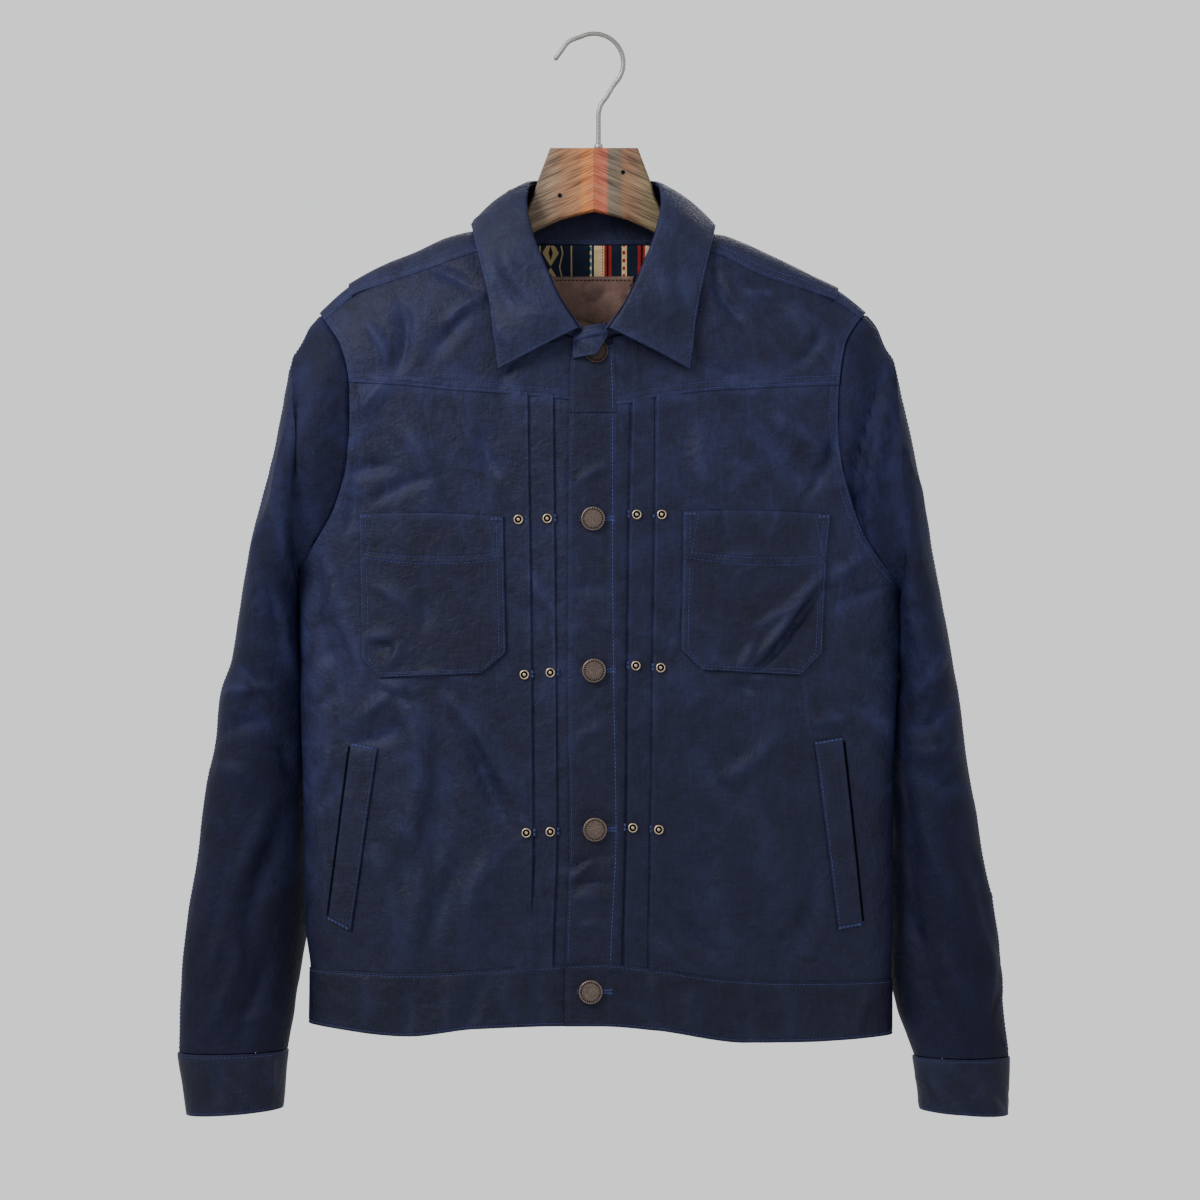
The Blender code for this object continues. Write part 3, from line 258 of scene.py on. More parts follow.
SLEEVE_RIGHT = table(
    "out_x out_z in_x in_z depth mid swing",
    (0.2390, -0.2580, 0.2500, -0.4500, 0.0440, 0.0010, 0.0000),
    (0.2545, -0.3250, 0.2490, -0.4600, 0.0460, 0.0050, 0.0060),
    (0.2650, -0.3830, 0.2460, -0.4740, 0.0455, 0.0080, 0.0160),
    (0.2740, -0.4300, 0.2425, -0.4960, 0.0430, 0.0100, 0.0200),
    (0.2860, -0.4900, 0.2390, -0.5300, 0.0410, 0.0110, 0.0215),
    (0.2935, -0.5330, 0.2365, -0.5620, 0.0400, 0.0110, 0.0220),
    (0.2990, -0.5760, 0.2345, -0.5980, 0.0395, 0.0110, 0.0220),
    (0.3070, -0.6240, 0.2340, -0.6420, 0.0385, 0.0110, 0.0215),
    (0.3130, -0.6640, 0.2340, -0.6780, 0.0370, 0.0110, 0.0200),
    (0.3200, -0.6940, 0.2345, -0.7080, 0.0355, 0.0110, 0.0180),
    (0.3252, -0.7335, 0.2365, -0.7450, 0.0330, 0.0105, 0.0120),
    (0.3276, -0.7700, 0.2430, -0.7760, 0.0310, 0.0090, 0.0050),
    (0.3323, -0.8158, 0.2565, -0.8153, 0.0300, 0.0080, 0.0000),
    (0.3326, -0.8166, 0.2566, -0.8160, 0.0300, 0.0080, 0.0000),
    (0.3308, -0.8640, 0.2622, -0.8590, 0.0285, 0.0080, 0.0000),
)
SLEEVES = {"left": SLEEVE_LEFT, "right": SLEEVE_RIGHT}
CUFF_START, CUFF_END = 14.0, 15.0  # the sections at the cuff's two edges
CUFF_SLIT = 0.384  # where the cuff's ends meet, as a share of half a turn from its inner side
SLIT_ANGLE = 0.024  # and how wide the slit between them is, in radians

# Pieces laid on the fronts. A patch's rows are its edges at the left and the right.
POCKET_LEFT = table(
    "left_x left_z right_x right_z",
    (-0.1849, -0.4190, -0.0706, -0.4206),
    (-0.1842, -0.4450, -0.0700, -0.4450),
    (-0.1835, -0.4720, -0.0693, -0.4720),
    (-0.1829, -0.4975, -0.0689, -0.4924),
    (-0.1690, -0.5125, -0.0885, -0.5090),
)
POCKET_RIGHT = table(
    "left_x left_z right_x right_z",
    (0.0700, -0.4189, 0.1831, -0.4227),
    (0.0694, -0.4450, 0.1823, -0.4450),
    (0.0688, -0.4700, 0.1812, -0.4700),
    (0.0684, -0.4902, 0.1802, -0.4924),
    (0.0849, -0.5062, 0.1625, -0.5105),
)
POCKET_TOP_LEFT = table(
    "left_x left_z right_x right_z",
    (-0.1856, -0.3830, -0.0711, -0.3852),
    (-0.1852, -0.4000, -0.0708, -0.4020),
    (-0.1849, -0.4182, -0.0706, -0.4198),
)
POCKET_TOP_RIGHT = table(
    "left_x left_z right_x right_z",
    (0.0700, -0.3812, 0.1868, -0.3832),
    (0.0700, -0.4000, 0.1850, -0.4020),
    (0.0700, -0.4181, 0.1831, -0.4219),
)
POCKET_SAG = 0.0052  # the pocket's top band dips this far between its ends
WELT_LEFT = table(
    "left_x left_z right_x right_z",
    (-0.1924, -0.5644, -0.1707, -0.5680),
    (-0.1985, -0.6110, -0.1778, -0.6160),
    (-0.2046, -0.6580, -0.1849, -0.6650),
    (-0.2106, -0.7046, -0.1920, -0.7136),
)
WELT_RIGHT = table(
    "left_x left_z right_x right_z",
    (0.1740, -0.5635, 0.1966, -0.5599),
    (0.1803, -0.6130, 0.2020, -0.6100),
    (0.1867, -0.6625, 0.2074, -0.6590),
    (0.1930, -0.7119, 0.2128, -0.7091),
)
BUTTONS = table(
    "x z",
    (0.0032, -0.2575),
    (-0.0007, -0.3872),
    (0.0001, -0.5066),
    (0.0009, -0.6316),
    (-0.0026, -0.7596),
)
RIVETS = table(
    "x z",
    (-0.0594, -0.3878),
    (-0.0367, -0.3870),
    (0.0337, -0.3839),
    (0.0533, -0.3839),
    (-0.0547, -0.5099),
    (-0.0343, -0.5083),
    (0.0330, -0.5028),
    (0.0525, -0.5044),
    (-0.0531, -0.6343),
    (-0.0343, -0.6335),
    (0.0306, -0.6304),
    (0.0510, -0.6319),
)

FRONT, BACK = -1, 1
SIDES = {"left": -1, "right": 1}


def smooth(place, knots, values):
    """A curve through the values, with no overshoot between them, read at a place or places."""
    order = np.argsort(knots)
    knots, values = knots[order], values[order]
    steps = np.diff(knots)
    rises = np.diff(values) / steps
    same_way = rises[:-1] * rises[1:] > 0
    total = np.where(same_way, rises[:-1] + rises[1:], 1.0)
    inner = np.where(same_way, 2 * rises[:-1] * rises[1:] / total, 0.0)
    slopes = np.concatenate([rises[:1], inner, rises[-1:]])
    place = np.clip(place, knots[0], knots[-1])
    k = np.clip(np.searchsorted(knots, place, side="right") - 1, 0, len(steps) - 1)
    t = (place - knots[k]) / steps[k]
    start = values[k] * (1 + 2 * t) * (1 - t) ** 2 + steps[k] * slopes[k] * t * (1 - t) ** 2
    end = values[k + 1] * (3 - 2 * t) * t**2 - steps[k] * slopes[k + 1] * t**2 * (1 - t)
    return start + end


def read(rows, column, place):
    """A table's column at a place along its first column."""
    first = next(iter(rows))
    return smooth(place, rows[first], rows[column])


# --- Creases, each a soft trough (-) or ridge (+), placed one by one ---------------------------

MM = 0.001
CREASE_RISE, CREASE_SPREAD = 1.8, 0.8  # what a row's height and half width are multiplied by
FRONT_RELIEF, BACK_RELIEF = 1.81, 1.45  # how much higher still all the front's and the back's are


def crease_table(relief, *rows):
    """Creases by their ends, half width and height in millimetres; relief makes all of them higher."""
    found = table("x1 z1 x2 z2 width depth", *rows)
    found["depth"] *= relief
    return found


BODY_CREASES = crease_table(
    FRONT_RELIEF,
    # left yoke
    (-128, -193, -97, -201, 6, -1.6),
    (-153, -217, -158, -270, 7, -1.8),
    (-86, -209, -113, -237, 6, 1.4),
    (-104, -222, -122, -262, 8, -1.2),
    (-176, -232, -166, -262, 6, 1.2),
    (-60, -262, -74, -284, 5, -0.9),
    # right yoke
    (97, -190, 114, -230, 6, -1.8),
    (152, -217, 169, -243, 7, 1.6),
    (78, -262, 118, -272, 6, -1.0),
    (178, -236, 160, -268, 6, -1.2),
    (120, -204, 148, -214, 5, 1.0),
    # left chest
    (-186, -299, -163, -284, 7, 1.8),
    (-192, -346, -163, -348, 7, -1.5),
    (-90, -322, -74, -351, 7, -1.6),
    (-150, -318, -128, -372, 10, 1.2),
    (-176, -368, -120, -360, 6, -1.0),
    (-200, -395, -186, -360, 6, -1.4),
    # left pocket
    (-178, -478, -160, -484, 6, 1.2),
    (-172, -486, -158, -492, 5, -1.1),
    (-154, -486, -163, -504, 5, 1.4),
    (-137, -450, -132, -473, 6, -0.9),
    (-172, -437, -147, -462, 7, 0.8),
    # left of it
    (-200, -418, -192, -506, 7, 1.3),
    (-212, -436, -204, -520, 7, -1.3),
    (-222, -452, -216, -540, 6, 1.2),
    # left side and below the pocket
    (-166, -515, -150, -529, 5, 1.3),
    (-160, -524, -140, -536, 5, -1.2),
    (-141, -513, -101, -515, 4, 0.9),
    (-152, -520, -150, -640, 12, 2.0),
    (-148, -620, -152, -735, 12, 1.8),
    (-138, -560, -136, -700, 12, -1.4),
    (-118, -532, -84, -560, 6, 1.2),
    (-96, -553, -50, -602, 9, 2.4),
    (-104, -566, -62, -622, 8, -2.2),
    (-190, -543, -158, -530, 6, 1.6),
    (-150, -548, -196, -562, 7, -1.4),
    (-232, -604, -212, -568, 6, 1.8),
    (-228, -620, -205, -590, 7, -2.0),
    (-226, -470, -205, -440, 6, 1.4),
    (-230, -500, -200, -482, 7, -1.6),
    (-228, -540, -198, -512, 6, -1.2),
    (-140, -600, -150, -680, 14, -1.5),
    (-80, -650, -96, -728, 12, 1.6),
    (-112, -640, -120, -720, 11, -1.4),
    (-170, -650, -160, -730, 10, 1.2),
    # right chest
    (147, -304, 181, -349, 8, 1.8),
    (130, -312, 158, -366, 9, -1.6),
    (86, -316, 98, -366, 10, 1.1),
    (186, -318, 172, -372, 7, -1.4),
    (192, -440, 210, -414, 6, 1.6),
    (196, -462, 222, -440, 7, -1.8),
    (113, -514, 122, -526, 5, -1.4),
    # right pocket
    (117, -494, 179, -444, 6, 2.0),
    (122, -500, 184, -452, 5, -1.6),
    (129, -467, 166, -457, 5, 1.1),
    (113, -502, 127, -487, 4, 1.3),
    (88, -480, 104, -504, 6, -0.9),
    (120, -508, 134, -515, 4, 0.9),
    # right side and lower right
    (238, -520, 205, -500, 7, 1.6),
    (236, -560, 200, -536, 7, -1.6),
    (200, -540, 172, -552, 6, 1.2),
    (70, -560, 110, -600, 9, -1.4),
    (146, -560, 96, -590, 8, 1.3),
    (47, -724, 81, -744, 7, 1.8),
    (60, -700, 100, -728, 8, -1.6),
    (130, -610, 140, -700, 13, 1.4),
    (96, -640, 104, -726, 12, -1.5),
    (168, -640, 160, -730, 10, -1.2),
    # pleats and placket
    (-13, -357, 12, -349, 4, 0.9),
    (-19, -668, 6, -657, 4, 1.3),
    (-20, -660, 14, -656, 4, -1.2),
    (-18, -674, 12, -678, 4, -1.0),
    (-10, -706, 10, -712, 4, 0.7),
    (-14, -684, 12, -690, 6, 0.7),
    (-16, -440, 10, -448, 6, -0.6),
    (-14, -560, 12, -552, 6, 0.6),
    (-44, -430, -28, -470, 5, 0.7),
    (28, -560, 44, -600, 5, -0.7),
)
BAND_CREASES = crease_table(
    FRONT_RELIEF,
    (-151, -752, -149, -792, 7, -1.5),
    (-178, -750, -184, -790, 8, 1.2),
    (-118, -752, -112, -790, 8, 1.2),
    (-88, -750, -92, -790, 7, -1.3),
    (-66, -748, -60, -786, 6, 1.4),
    (-40, -746, -44, -784, 5, -1.2),
    (12, -745, 18, -750, 4, -0.8),
    (44, -748, 51, -762, 5, 1.4),
    (22, -768, 56, -790, 5, -1.3),
    (80, -756, 84, -796, 8, 1.0),
    (118, -764, 121, -800, 6, -1.6),
    (150, -758, 154, -798, 9, 1.2),
    (188, -760, 192, -798, 8, -1.2),
    (216, -758, 212, -796, 6, 1.0),
)
BACK_CREASES = crease_table(
    BACK_RELIEF,
    (-150, -230, -110, -300, 10, 2.0),
    (-120, -220, -70, -290, 10, -2.0),
    (150, -232, 104, -306, 11, 1.8),
    (118, -226, 64, -300, 9, -1.8),
    (-40, -250, -50, -400, 16, -1.6),
    (52, -260, 44, -420, 16, 1.5),
    (0, -300, 6, -520, 18, 1.4),
    (-190, -430, -120, -400, 9, 1.8),
    (-205, -470, -130, -440, 10, -1.8),
    (196, -440, 128, -408, 9, 1.8),
    (212, -486, 140, -452, 10, -1.8),
    (-90, -470, -110, -640, 15, 1.6),
    (96, -480, 112, -650, 15, -1.6),
    (-30, -540, -20, -720, 14, 1.6),
    (40, -560, 30, -730, 14, -1.6),
    (-214, -600, -150, -640, 9, -1.6),
    (218, -610, 154, -654, 9, 1.6),
    (-120, -680, -60, -720, 8, 1.4),
    (130, -690, 70, -726, 8, -1.4),
    (-200, -700, -168, -728, 7, 1.4),
    (204, -690, 176, -736, 7, 1.4),
)
SLEEVE_CREASES = {
    "left": crease_table(
        1.0,
        (-221, -265, -222, -402, 8, -4.5),
        (-232, -280, -236, -420, 7, 2.0),
        (-246, -300, -254, -400, 9, -1.6),
        (-250, -460, -232, -512, 6, 2.4),
        (-262, -440, -240, -480, 7, -2.0),
        (-286, -505, -262, -528, 6, -2.6),
        (-296, -532, -256, -520, 6, 2.2),
        (-302, -562, -258, -548, 7, -2.4),
        (-306, -584, -268, -600, 7, 2.0),
        (-250, -566, -232, -596, 6, -1.8),
        (-270, -610, -284, -700, 9, 2.2),
        (-252, -620, -262, -730, 9, -2.4),
        (-300, -630, -310, -730, 8, -1.8),
        (-290, -720, -302, -792, 8, 1.8),
        (-268, -740, -274, -800, 7, -2.0),
        (-316, -700, -306, -752, 6, 1.4),
        (-258, -776, -284, -796, 5, 1.4),
        (-258, -360, -268, -430, 8, 1.6),
    ),
    "right": crease_table(
        1.0,
        (219, -262, 222, -402, 8, -5.0),
        (230, -290, 236, -430, 6, 2.2),
        (244, -300, 254, -410, 9, -1.6),
        (240, -430, 246, -520, 6, -3.4),
        (258, -430, 262, -500, 7, 2.0),
        (282, -500, 250, -528, 6, 2.2),
        (290, -536, 254, -552, 7, -2.4),
        (294, -566, 258, -570, 6, 1.8),
        (300, -602, 262, -590, 7, -2.2),
        (250, -560, 252, -640, 6, -2.2),
        (272, -610, 284, -710, 9, 2.2),
        (256, -640, 262, -740, 8, -2.2),
        (300, -640, 306, -730, 8, -1.6),
        (288, -730, 298, -796, 8, 1.8),
        (270, -740, 280, -800, 7, -1.8),
        (314, -720, 308, -776, 6, 1.4),
        (268, -350, 276, -430, 8, 1.4),
    ),
}
CUFF_CREASES = crease_table(
    1.0,
    (-262, -812, -253, -842, 5, 1.6),
    (-300, -818, -306, -856, 7, -1.0),
    (-280, -822, -276, -858, 6, 1.0),
    (298, -855, 313, -838, 5, 1.6),
    (313, -838, 328, -858, 5, -1.6),
    (272, -820, 292, -862, 6, -1.6),
    (286, -818, 300, -846, 6, 1.0),
)


def crease_height(x, z, rows):
    """How far the creases raise or sink the cloth here, in metres."""
    total = np.zeros(np.broadcast(x, z).shape)
    for x1, z1, x2, z2, width, deep in zip(*(column * MM for column in rows.values())):
        run_x, run_z = x2 - x1, z2 - z1
        length = math.hypot(run_x, run_z)
        along = ((x - x1) * run_x + (z - z1) * run_z) / length**2
        bend = 0.12 * length * np.sin(2.6 * along + 40 * x1)
        off = ((x - x1) * run_z - (z - z1) * run_x) / length + bend
        middle = np.exp(-np.abs(2 * along - 1) ** 3)
        total += CREASE_RISE * deep * middle * np.exp(-np.abs(off / (CREASE_SPREAD * width)) ** 1.7)
    return total


def grain(x, z, size, seed):
    """Smooth noise from -1 to 1 whose bumps are about this size."""
    x, z = x / size + 17.3 * seed, z / size - 9.1 * seed
    x, z = x + 0.3 * z, z - 0.2 * x
    column, row = np.floor(x), np.floor(z)
    u, v = x - column, z - row
    u, v = u * u * (3 - 2 * u), v * v * (3 - 2 * v)

    def corner(i, j):
        turn = np.sin((column + i) * 127.1 + (row + j) * 311.7 + seed * 7.7) * 43758.5453
        return 2 * (turn - np.floor(turn)) - 1

    low = corner(0, 0) * (1 - u) + corner(1, 0) * u
    high = corner(0, 1) * (1 - u) + corner(1, 1) * u
    return low * (1 - v) + high * v


def ridges(x, z, seed):
    """Thin crooked ridges, from 0 to 1, as waxed cloth keeps where it was crushed."""
    bent_x = x + 0.010 * grain(x, z, 0.030, seed + 3)
    bent_z = z + 0.010 * grain(x, z, 0.026, seed + 4)
    fine = 1 - np.abs(grain(bent_x + 0.5 * bent_z, bent_z - 0.4 * bent_x, 0.034, seed))
    crossing = 1 - np.abs(grain(bent_x - 0.7 * bent_z, bent_z + 0.6 * bent_x, 0.052, seed + 5))
    where = np.clip(0.35 + grain(x, z, 0.085, seed + 6), 0, 1)
    return where * np.maximum(np.clip(fine, 0, 1) ** 9, np.clip(crossing, 0, 1) ** 12)


def crumple(x, z, seed=1.0):
    """The small unevenness of waxed cloth, in metres."""
    soft = 0.00060 * grain(x, z, 0.045, seed) + 0.00030 * grain(x, z, 0.017, seed + 1)
    return soft + 0.00095 * ridges(x, z, seed)


def rounded(distance, radius):
    """From 0 at an edge up to 1, as a rounded lip."""
    t = np.clip(distance / radius, 0, 1)
    return np.sqrt(1 - (1 - t) ** 2)


def groove(distance, at, width=0.0007):
    """1 on a line, such as a row of stitches, falling off beside it."""
    return np.exp(-(((distance - at) / width) ** 2))


def rubbed(distance, reach=0.004):
    """1 at an edge or a seam, where the wax is rubbed, fading away from it."""
    return np.exp(-distance / reach)


# --- The body's form -----------------------------------------------------------------------------


def fullness(x, z):
    """The torso's section: 1 in its middle, 0 at its side edges and on the crest of the shoulders."""
    left, right = read(BODY, "left", z), read(BODY, "right", z)
    across = np.abs(2 * x - left - right) / (right - left)
    drop = np.clip((read(CREST, "z", x) - z) / CREST_DROP, 0, 1)
    return (1 - np.minimum(across, 1) ** SIDE_POWER) * (2 * drop - drop**2)


def depth(z, face):
    """How far the front or the back stands out from the middle at this height."""
    return read(BODY, "front" if face == FRONT else "back", z)


def unit(vectors):
    return vectors / np.maximum(np.linalg.norm(vectors, axis=-1, keepdims=True), 1e-12)


def torso(x, z, face, lift=0.0):
    """Points of the body's front or back, lifted out of the cloth's outer face, and the normals."""
    x, z = np.broadcast_arrays(np.asarray(x, float), np.asarray(z, float))
    full = np.maximum(fullness(x, z), 0)
    y = face * depth(z, face) * np.sqrt(full)

    def form(x, y, z):
        return (y / depth(z, face)) ** 2 - fullness(x, z)

    step = 2e-5
    normal = unit(np.stack([
        form(x + step, y, z) - form(x - step, y, z),
        form(x, y + step, z) - form(x, y - step, z),
        form(x, y, z + step) - form(x, y, z - step) + 1e-9,
    ], axis=-1))
    creases = BODY_CREASES if face == FRONT else BACK_CREASES
    lift = lift + (crease_height(x, z, creases) + crumple(x, z, 2.0 + face)) * np.minimum(1, 2 * full)
    points = np.stack([x, y + face * GAP / 2, z], axis=-1)
    return points + normal * np.asarray(lift)[..., None], normal


def layers(x, z, face, over, under):
    """Outer and inner points of a cloth on the body, between two heights above its form."""
    return torso(x, z, face, over)[0], torso(x, z, face, under)[0]


def armpit_z(side):
    return ARMHOLE[side + "_z"][-1]


def panel_edge(z, side):
    """The side edge of a front or the back: the armhole, and below the armpit the side seam."""
    armhole = smooth(z, ARMHOLE[side + "_z"], ARMHOLE[side + "_x"])
    return np.where(z > armpit_z(side), armhole, read(BODY, side, z))


def pleat_lift(x, z):
    """Height of the front's knife pleats: a ramp up to each fold's rounded edge."""
    lift = np.zeros(np.broadcast(x, z).shape)
    for side, name in (("left", "outer_left"), ("left", "inner_left"),
                       ("right", "outer_right"), ("right", "inner_right")):
        outward = (x - read(FRONT_LINES, name, z)) * SIDES[side]
        reach = PLEAT_DEPTH * (1.0 if name.startswith("outer") else INNER_PLEAT)
        ramp = np.clip(1 - outward / reach, 0, 1) ** 1.5 * rounded(outward, PLEAT_ROUND)
        tight = 1 + 0.35 * grain(x * 0, z, 0.05, len(name))
        lift += np.where(outward >= 0, PLEAT_STEP * ramp * tight, 0)
        lift -= 0.0006 * groove(outward, -0.0006, 0.0008)
    return lift


def beside_placket(x, z, high):
    """The right front is sewn to the placket, so it is as high there and sinks to the first pleat."""
    edge, fold = read(FRONT_LINES, "placket_right", z), read(FRONT_LINES, "inner_right", z)
    share = np.clip((x - edge) / (fold - 0.0012 - edge), 0, 1)
    return np.where(x >= edge - 0.001, high * (1 - share**2), 0)


def back_pleat_lift(x, z):
    """The same for the back's two action pleats."""
    inward = read(BACK_PLEAT, "x", z) - np.abs(x)
    ramp = np.clip(1 - inward / PLEAT_DEPTH, 0, 1) ** 1.5 * rounded(inward, PLEAT_ROUND)
    return np.where(inward >= 0, PLEAT_STEP * ramp, 0)


# --- Making pieces -------------------------------------------------------------------------------


def mix(a, b, share):
    return a + (b - a) * share


def even(count, start=0.0, end=1.0):
    return np.linspace(start, end, count + 1)


EDGE_STEPS = np.array([0, 0.0003, 0.0008, 0.0014, 0.0019, 0.0024, 0.0030, 0.0042, 0.0055, 0.0066,
                       0.0072, 0.0078, 0.0095])
NEAR_ROW, FAR_ROW = 0.0022, 0.0072  # the two rows of a double-stitched edge


def two_rows(distance):
    """The grooves of a double-stitched edge."""
    return groove(distance, NEAR_ROW) + groove(distance, FAR_ROW)


def nearest(values, target):
    """The index of the value nearest to the target."""
    return int(np.argmin(np.abs(values - target)))


def level(height):
    """A line or a surface that is this high everywhere."""
    def height_at(place):
        return height + 0 * place
    return height_at


def with_edges(length, middle):
    """Shares along a length, closer together beside both ends, where its stitching runs."""
    near = EDGE_STEPS / length
    inner = np.linspace(near[-1], 1 - near[-1], middle + 2)[1:-1]
    return np.concatenate([near, inner, 1 - near[::-1]])


def add_piece(name, points, faces, material, nodes=(), worn=None, sharp=None):
    """A piece of the part, with how worn it is at each point (for metal pieces their shading, with painted
    shadow on the top button), smooth but for edges sharper than an angle.
    """
    data = bpy.data.meshes.new(name)
    data.from_pydata(points, [], faces)
    if sharp:
        data.shade_smooth()
        data.set_sharp_from_angle(angle=math.radians(sharp))
    if worn is not None:
        wear_and_shade = data.attributes.new("wear_and_shade", "FLOAT", "POINT")
        wear_and_shade.data.foreach_set("value", worn.astype(np.float32))
    data.materials.append(material)
    piece = bpy.data.objects.new(name, data)
    bpy.context.scene.collection.objects.link(piece)
    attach(piece, "root")
    if nodes:
        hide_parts(*nodes)
    return piece


def add_cloth(name, outer, inner, worn, material, nodes):
    """A sheet of cloth from its outer and inner points, each (rows, columns, 3)."""
    rows, columns = outer.shape[:2]
    count = rows * columns
    index = np.arange(count).reshape(rows, columns)
    cells = np.stack([index[:-1, :-1], index[:-1, 1:], index[1:, 1:], index[1:, :-1]], axis=-1)
    cells = cells.reshape(-1, 4)
    rim = np.concatenate([index[0, :], index[1:, -1], index[-1, -2::-1], index[-2::-1, 0]])
    sides = np.stack([rim[:-1], rim[:-1] + count, rim[1:] + count, rim[1:]], axis=-1)
    first = outer[rows // 2, columns // 2]
    turn = np.cross(outer[rows // 2, columns // 2 + 1] - first, outer[rows // 2 + 1, columns // 2] - first)
    if np.dot(turn, first - inner[rows // 2, columns // 2]) < 0:
        cells, sides = cells[:, ::-1], sides[:, ::-1]
    faces = np.concatenate([cells, cells[:, ::-1] + count, sides])
    worn = np.broadcast_to(worn, (rows, columns)).reshape(-1)
    points = np.concatenate([outer.reshape(-1, 3), inner.reshape(-1, 3)])
    piece = add_piece(name, points, faces, material, nodes, np.concatenate([worn, worn * 0]), 62)
    across = np.linalg.norm(np.diff(outer, axis=1), axis=-1)
    up = np.linalg.norm(np.diff(outer, axis=0), axis=-1)
    area = float((across[:-1] * up[:, :-1]).sum())
    flat = [round(float(across.sum(axis=1).max()), 3), round(float(up.sum(axis=0).max()), 3)]
    area = min(max(area, 0.31 * flat[0] * flat[1]), flat[0] * flat[1])


class Thread:
    """Stitches gathered into one mesh: each is a short rounded bar lying on the cloth."""

    def __init__(self, length=0.0025, pitch=0.0033, width=0.00062, height=0.00042):
        self.length, self.pitch, self.width, self.height = length, pitch, width, height
        self.points, self.faces = [], []

    def row(self, path, normals):
        """Stitch along a path of points, with the cloth's normal at each."""
        steps = np.linalg.norm(np.diff(path, axis=0), axis=1)
        run = np.concatenate([[0], np.cumsum(steps)])
        starts = np.arange(self.pitch * 0.5, run[-1] - self.pitch * 0.5, self.pitch)

        def at(distance, values):
            return np.stack([np.interp(distance, run, values[:, i]) for i in range(3)], axis=-1)

        a, b = at(starts - self.length / 2, path), at(starts + self.length / 2, path)
        out = unit(at(starts, normals))
        along = unit(b - a)
        side = np.cross(along, out) * self.width / 2
        high = out * self.height
        inset = along * self.length * 0.18
        low = out * -0.0002
        ring = [a - side + low, a + side + low, b + side + low, b - side + low,
                a - side * 0.4 + inset + high, a + side * 0.4 + inset + high,
                b + side * 0.4 - inset + high, b - side * 0.4 - inset + high]
        bars = np.stack(ring, axis=1)
        first = sum(len(block) for block in self.points) + 8 * np.arange(len(starts))
        quads = [(3, 2, 1, 0), (4, 5, 6, 7), (0, 1, 5, 4), (1, 2, 6, 5), (2, 3, 7, 6), (3, 0, 4, 7)]
        self.points.append(bars.reshape(-1, 3))
        self.faces.append((first[:, None, None] + np.array(quads)).reshape(-1, 4))

    def bar(self, middle, normal, along, length):
        """One stitch across a place, such as a buttonhole's edge."""
        ends = np.stack([middle - along * length / 2, middle + along * length / 2])
        whole, self.length, self.pitch = (self.length, self.pitch), length * 0.96, length * 0.99
        self.row(ends, np.stack([normal, normal]))
        self.length, self.pitch = whole

    def finish(self, name, material, slot="waxed_cotton"):
        add_piece(name, np.concatenate(self.points), np.concatenate(self.faces), material)


def stitch_body(thread, x, z, face, lift):
    """A row of stitches on the body's front or back."""
    thread.row(*torso(x, z, face, lift))


# --- Fronts --------------------------------------------------------------------------------------


def worn_by(x, z, creases, seams=0.0):
    """Where the wax is rubbed: on the ridges of creases, beside seams and in blotches."""
    creased = np.clip(np.abs(crease_height(x, z, creases)) / 0.0020, 0, 1.2)
    blotches = np.clip(grain(x, z, 0.05, 5) + 0.5 * grain(x, z, 0.02, 6), 0, 1)
    return np.clip(0.45 * creased + 0.25 * blotches + 0.55 * ridges(x, z, 1.0) + seams, 0, 1.5)


def centre_edge(z, side):
    """Where a front ends at the centre: the left one under the placket, the right one beside it."""
    return UNDERLAP + 0 * z if side == "left" else read(FRONT_LINES, "placket_right", z) + GAP


def add_front_panel(side):
    """A lower front with its two knife pleats, from the yoke to the hem band."""
    sign = SIDES[side]
    beside_fold = [0.018, 0.014, 0.010, 0.007, 0.0045, 0.003, 0.002, 0.0014, 0.0010, 0.0007, 0.0004,
                   0.0002, 0.00005, 0.0, -0.0003, -0.0006, -0.0010, -0.0016]

    def lines(z):
        edge = panel_edge(z[:, 0], side)
        outer = read(FRONT_LINES, "outer_" + side, z[:, 0])
        inner = read(FRONT_LINES, "inner_" + side, z[:, 0])
        start, stop = edge - sign * EDGE_STEPS[-1], outer + sign * beside_fold[0]
        x = [edge - sign * d for d in EDGE_STEPS]
        x += [mix(start, stop, share) for share in even(46)[1:-1]]
        x += [fold + sign * d for fold in (outer, inner) for d in beside_fold]
        x += [mix(inner + sign * beside_fold[-1], centre_edge(z[:, 0], side), share) for share in even(4)[1:]]
        return np.stack(x, axis=1)

    up = even(170)[:, None]
    z = mix(-0.745, -0.285, up)
    for _ in range(4):
        x = lines(z)
        bottom = read(BAND_SEAM, "z", x) - 0.002
        top = read(YOKE_SEAM, "z", x) + 0.003
        z = mix(bottom, top, up)
    from_side = (panel_edge(z, side) - x) * sign
    above = z > armpit_z(side) + 0.004
    stitched = np.where(above, two_rows(from_side), 0)
    lift = pleat_lift(x, z) - 0.00035 * stitched
    if side == "right":
        lift = lift + beside_placket(x, z, BAND_SEAT + LAID_ON)
    lift = lift - np.where(above, 0.0015 * (1 - rounded(from_side, FOLDED)), 0)
    outer, inner = layers(x, z, FRONT, lift, -CLOTH)
    seams = np.where(above, 0.8 * rubbed(from_side, 0.006), 0.4 * rubbed(from_side, 0.01))
    seams = seams + 0.5 * groove(z, read(YOKE_SEAM, "z", x), 0.007)
    for name in ("outer_", "inner_"):
        at = (x - read(FRONT_LINES, name + side, z)) * sign
        seams = seams + 0.45 * groove(at, 0.0008, 0.0012)
    worn = worn_by(x, z, BODY_CREASES, seams)
    add_cloth("lower_front_" + side, outer, inner, worn, wax[side], ["front_panel_" + side])
    z_line = np.linspace(armpit_z(side) + 0.006, -0.286, 90)
    for offset in (NEAR_ROW, FAR_ROW):
        stitch_body(front_thread, panel_edge(z_line, side) - sign * offset, z_line, FRONT, -0.0002)


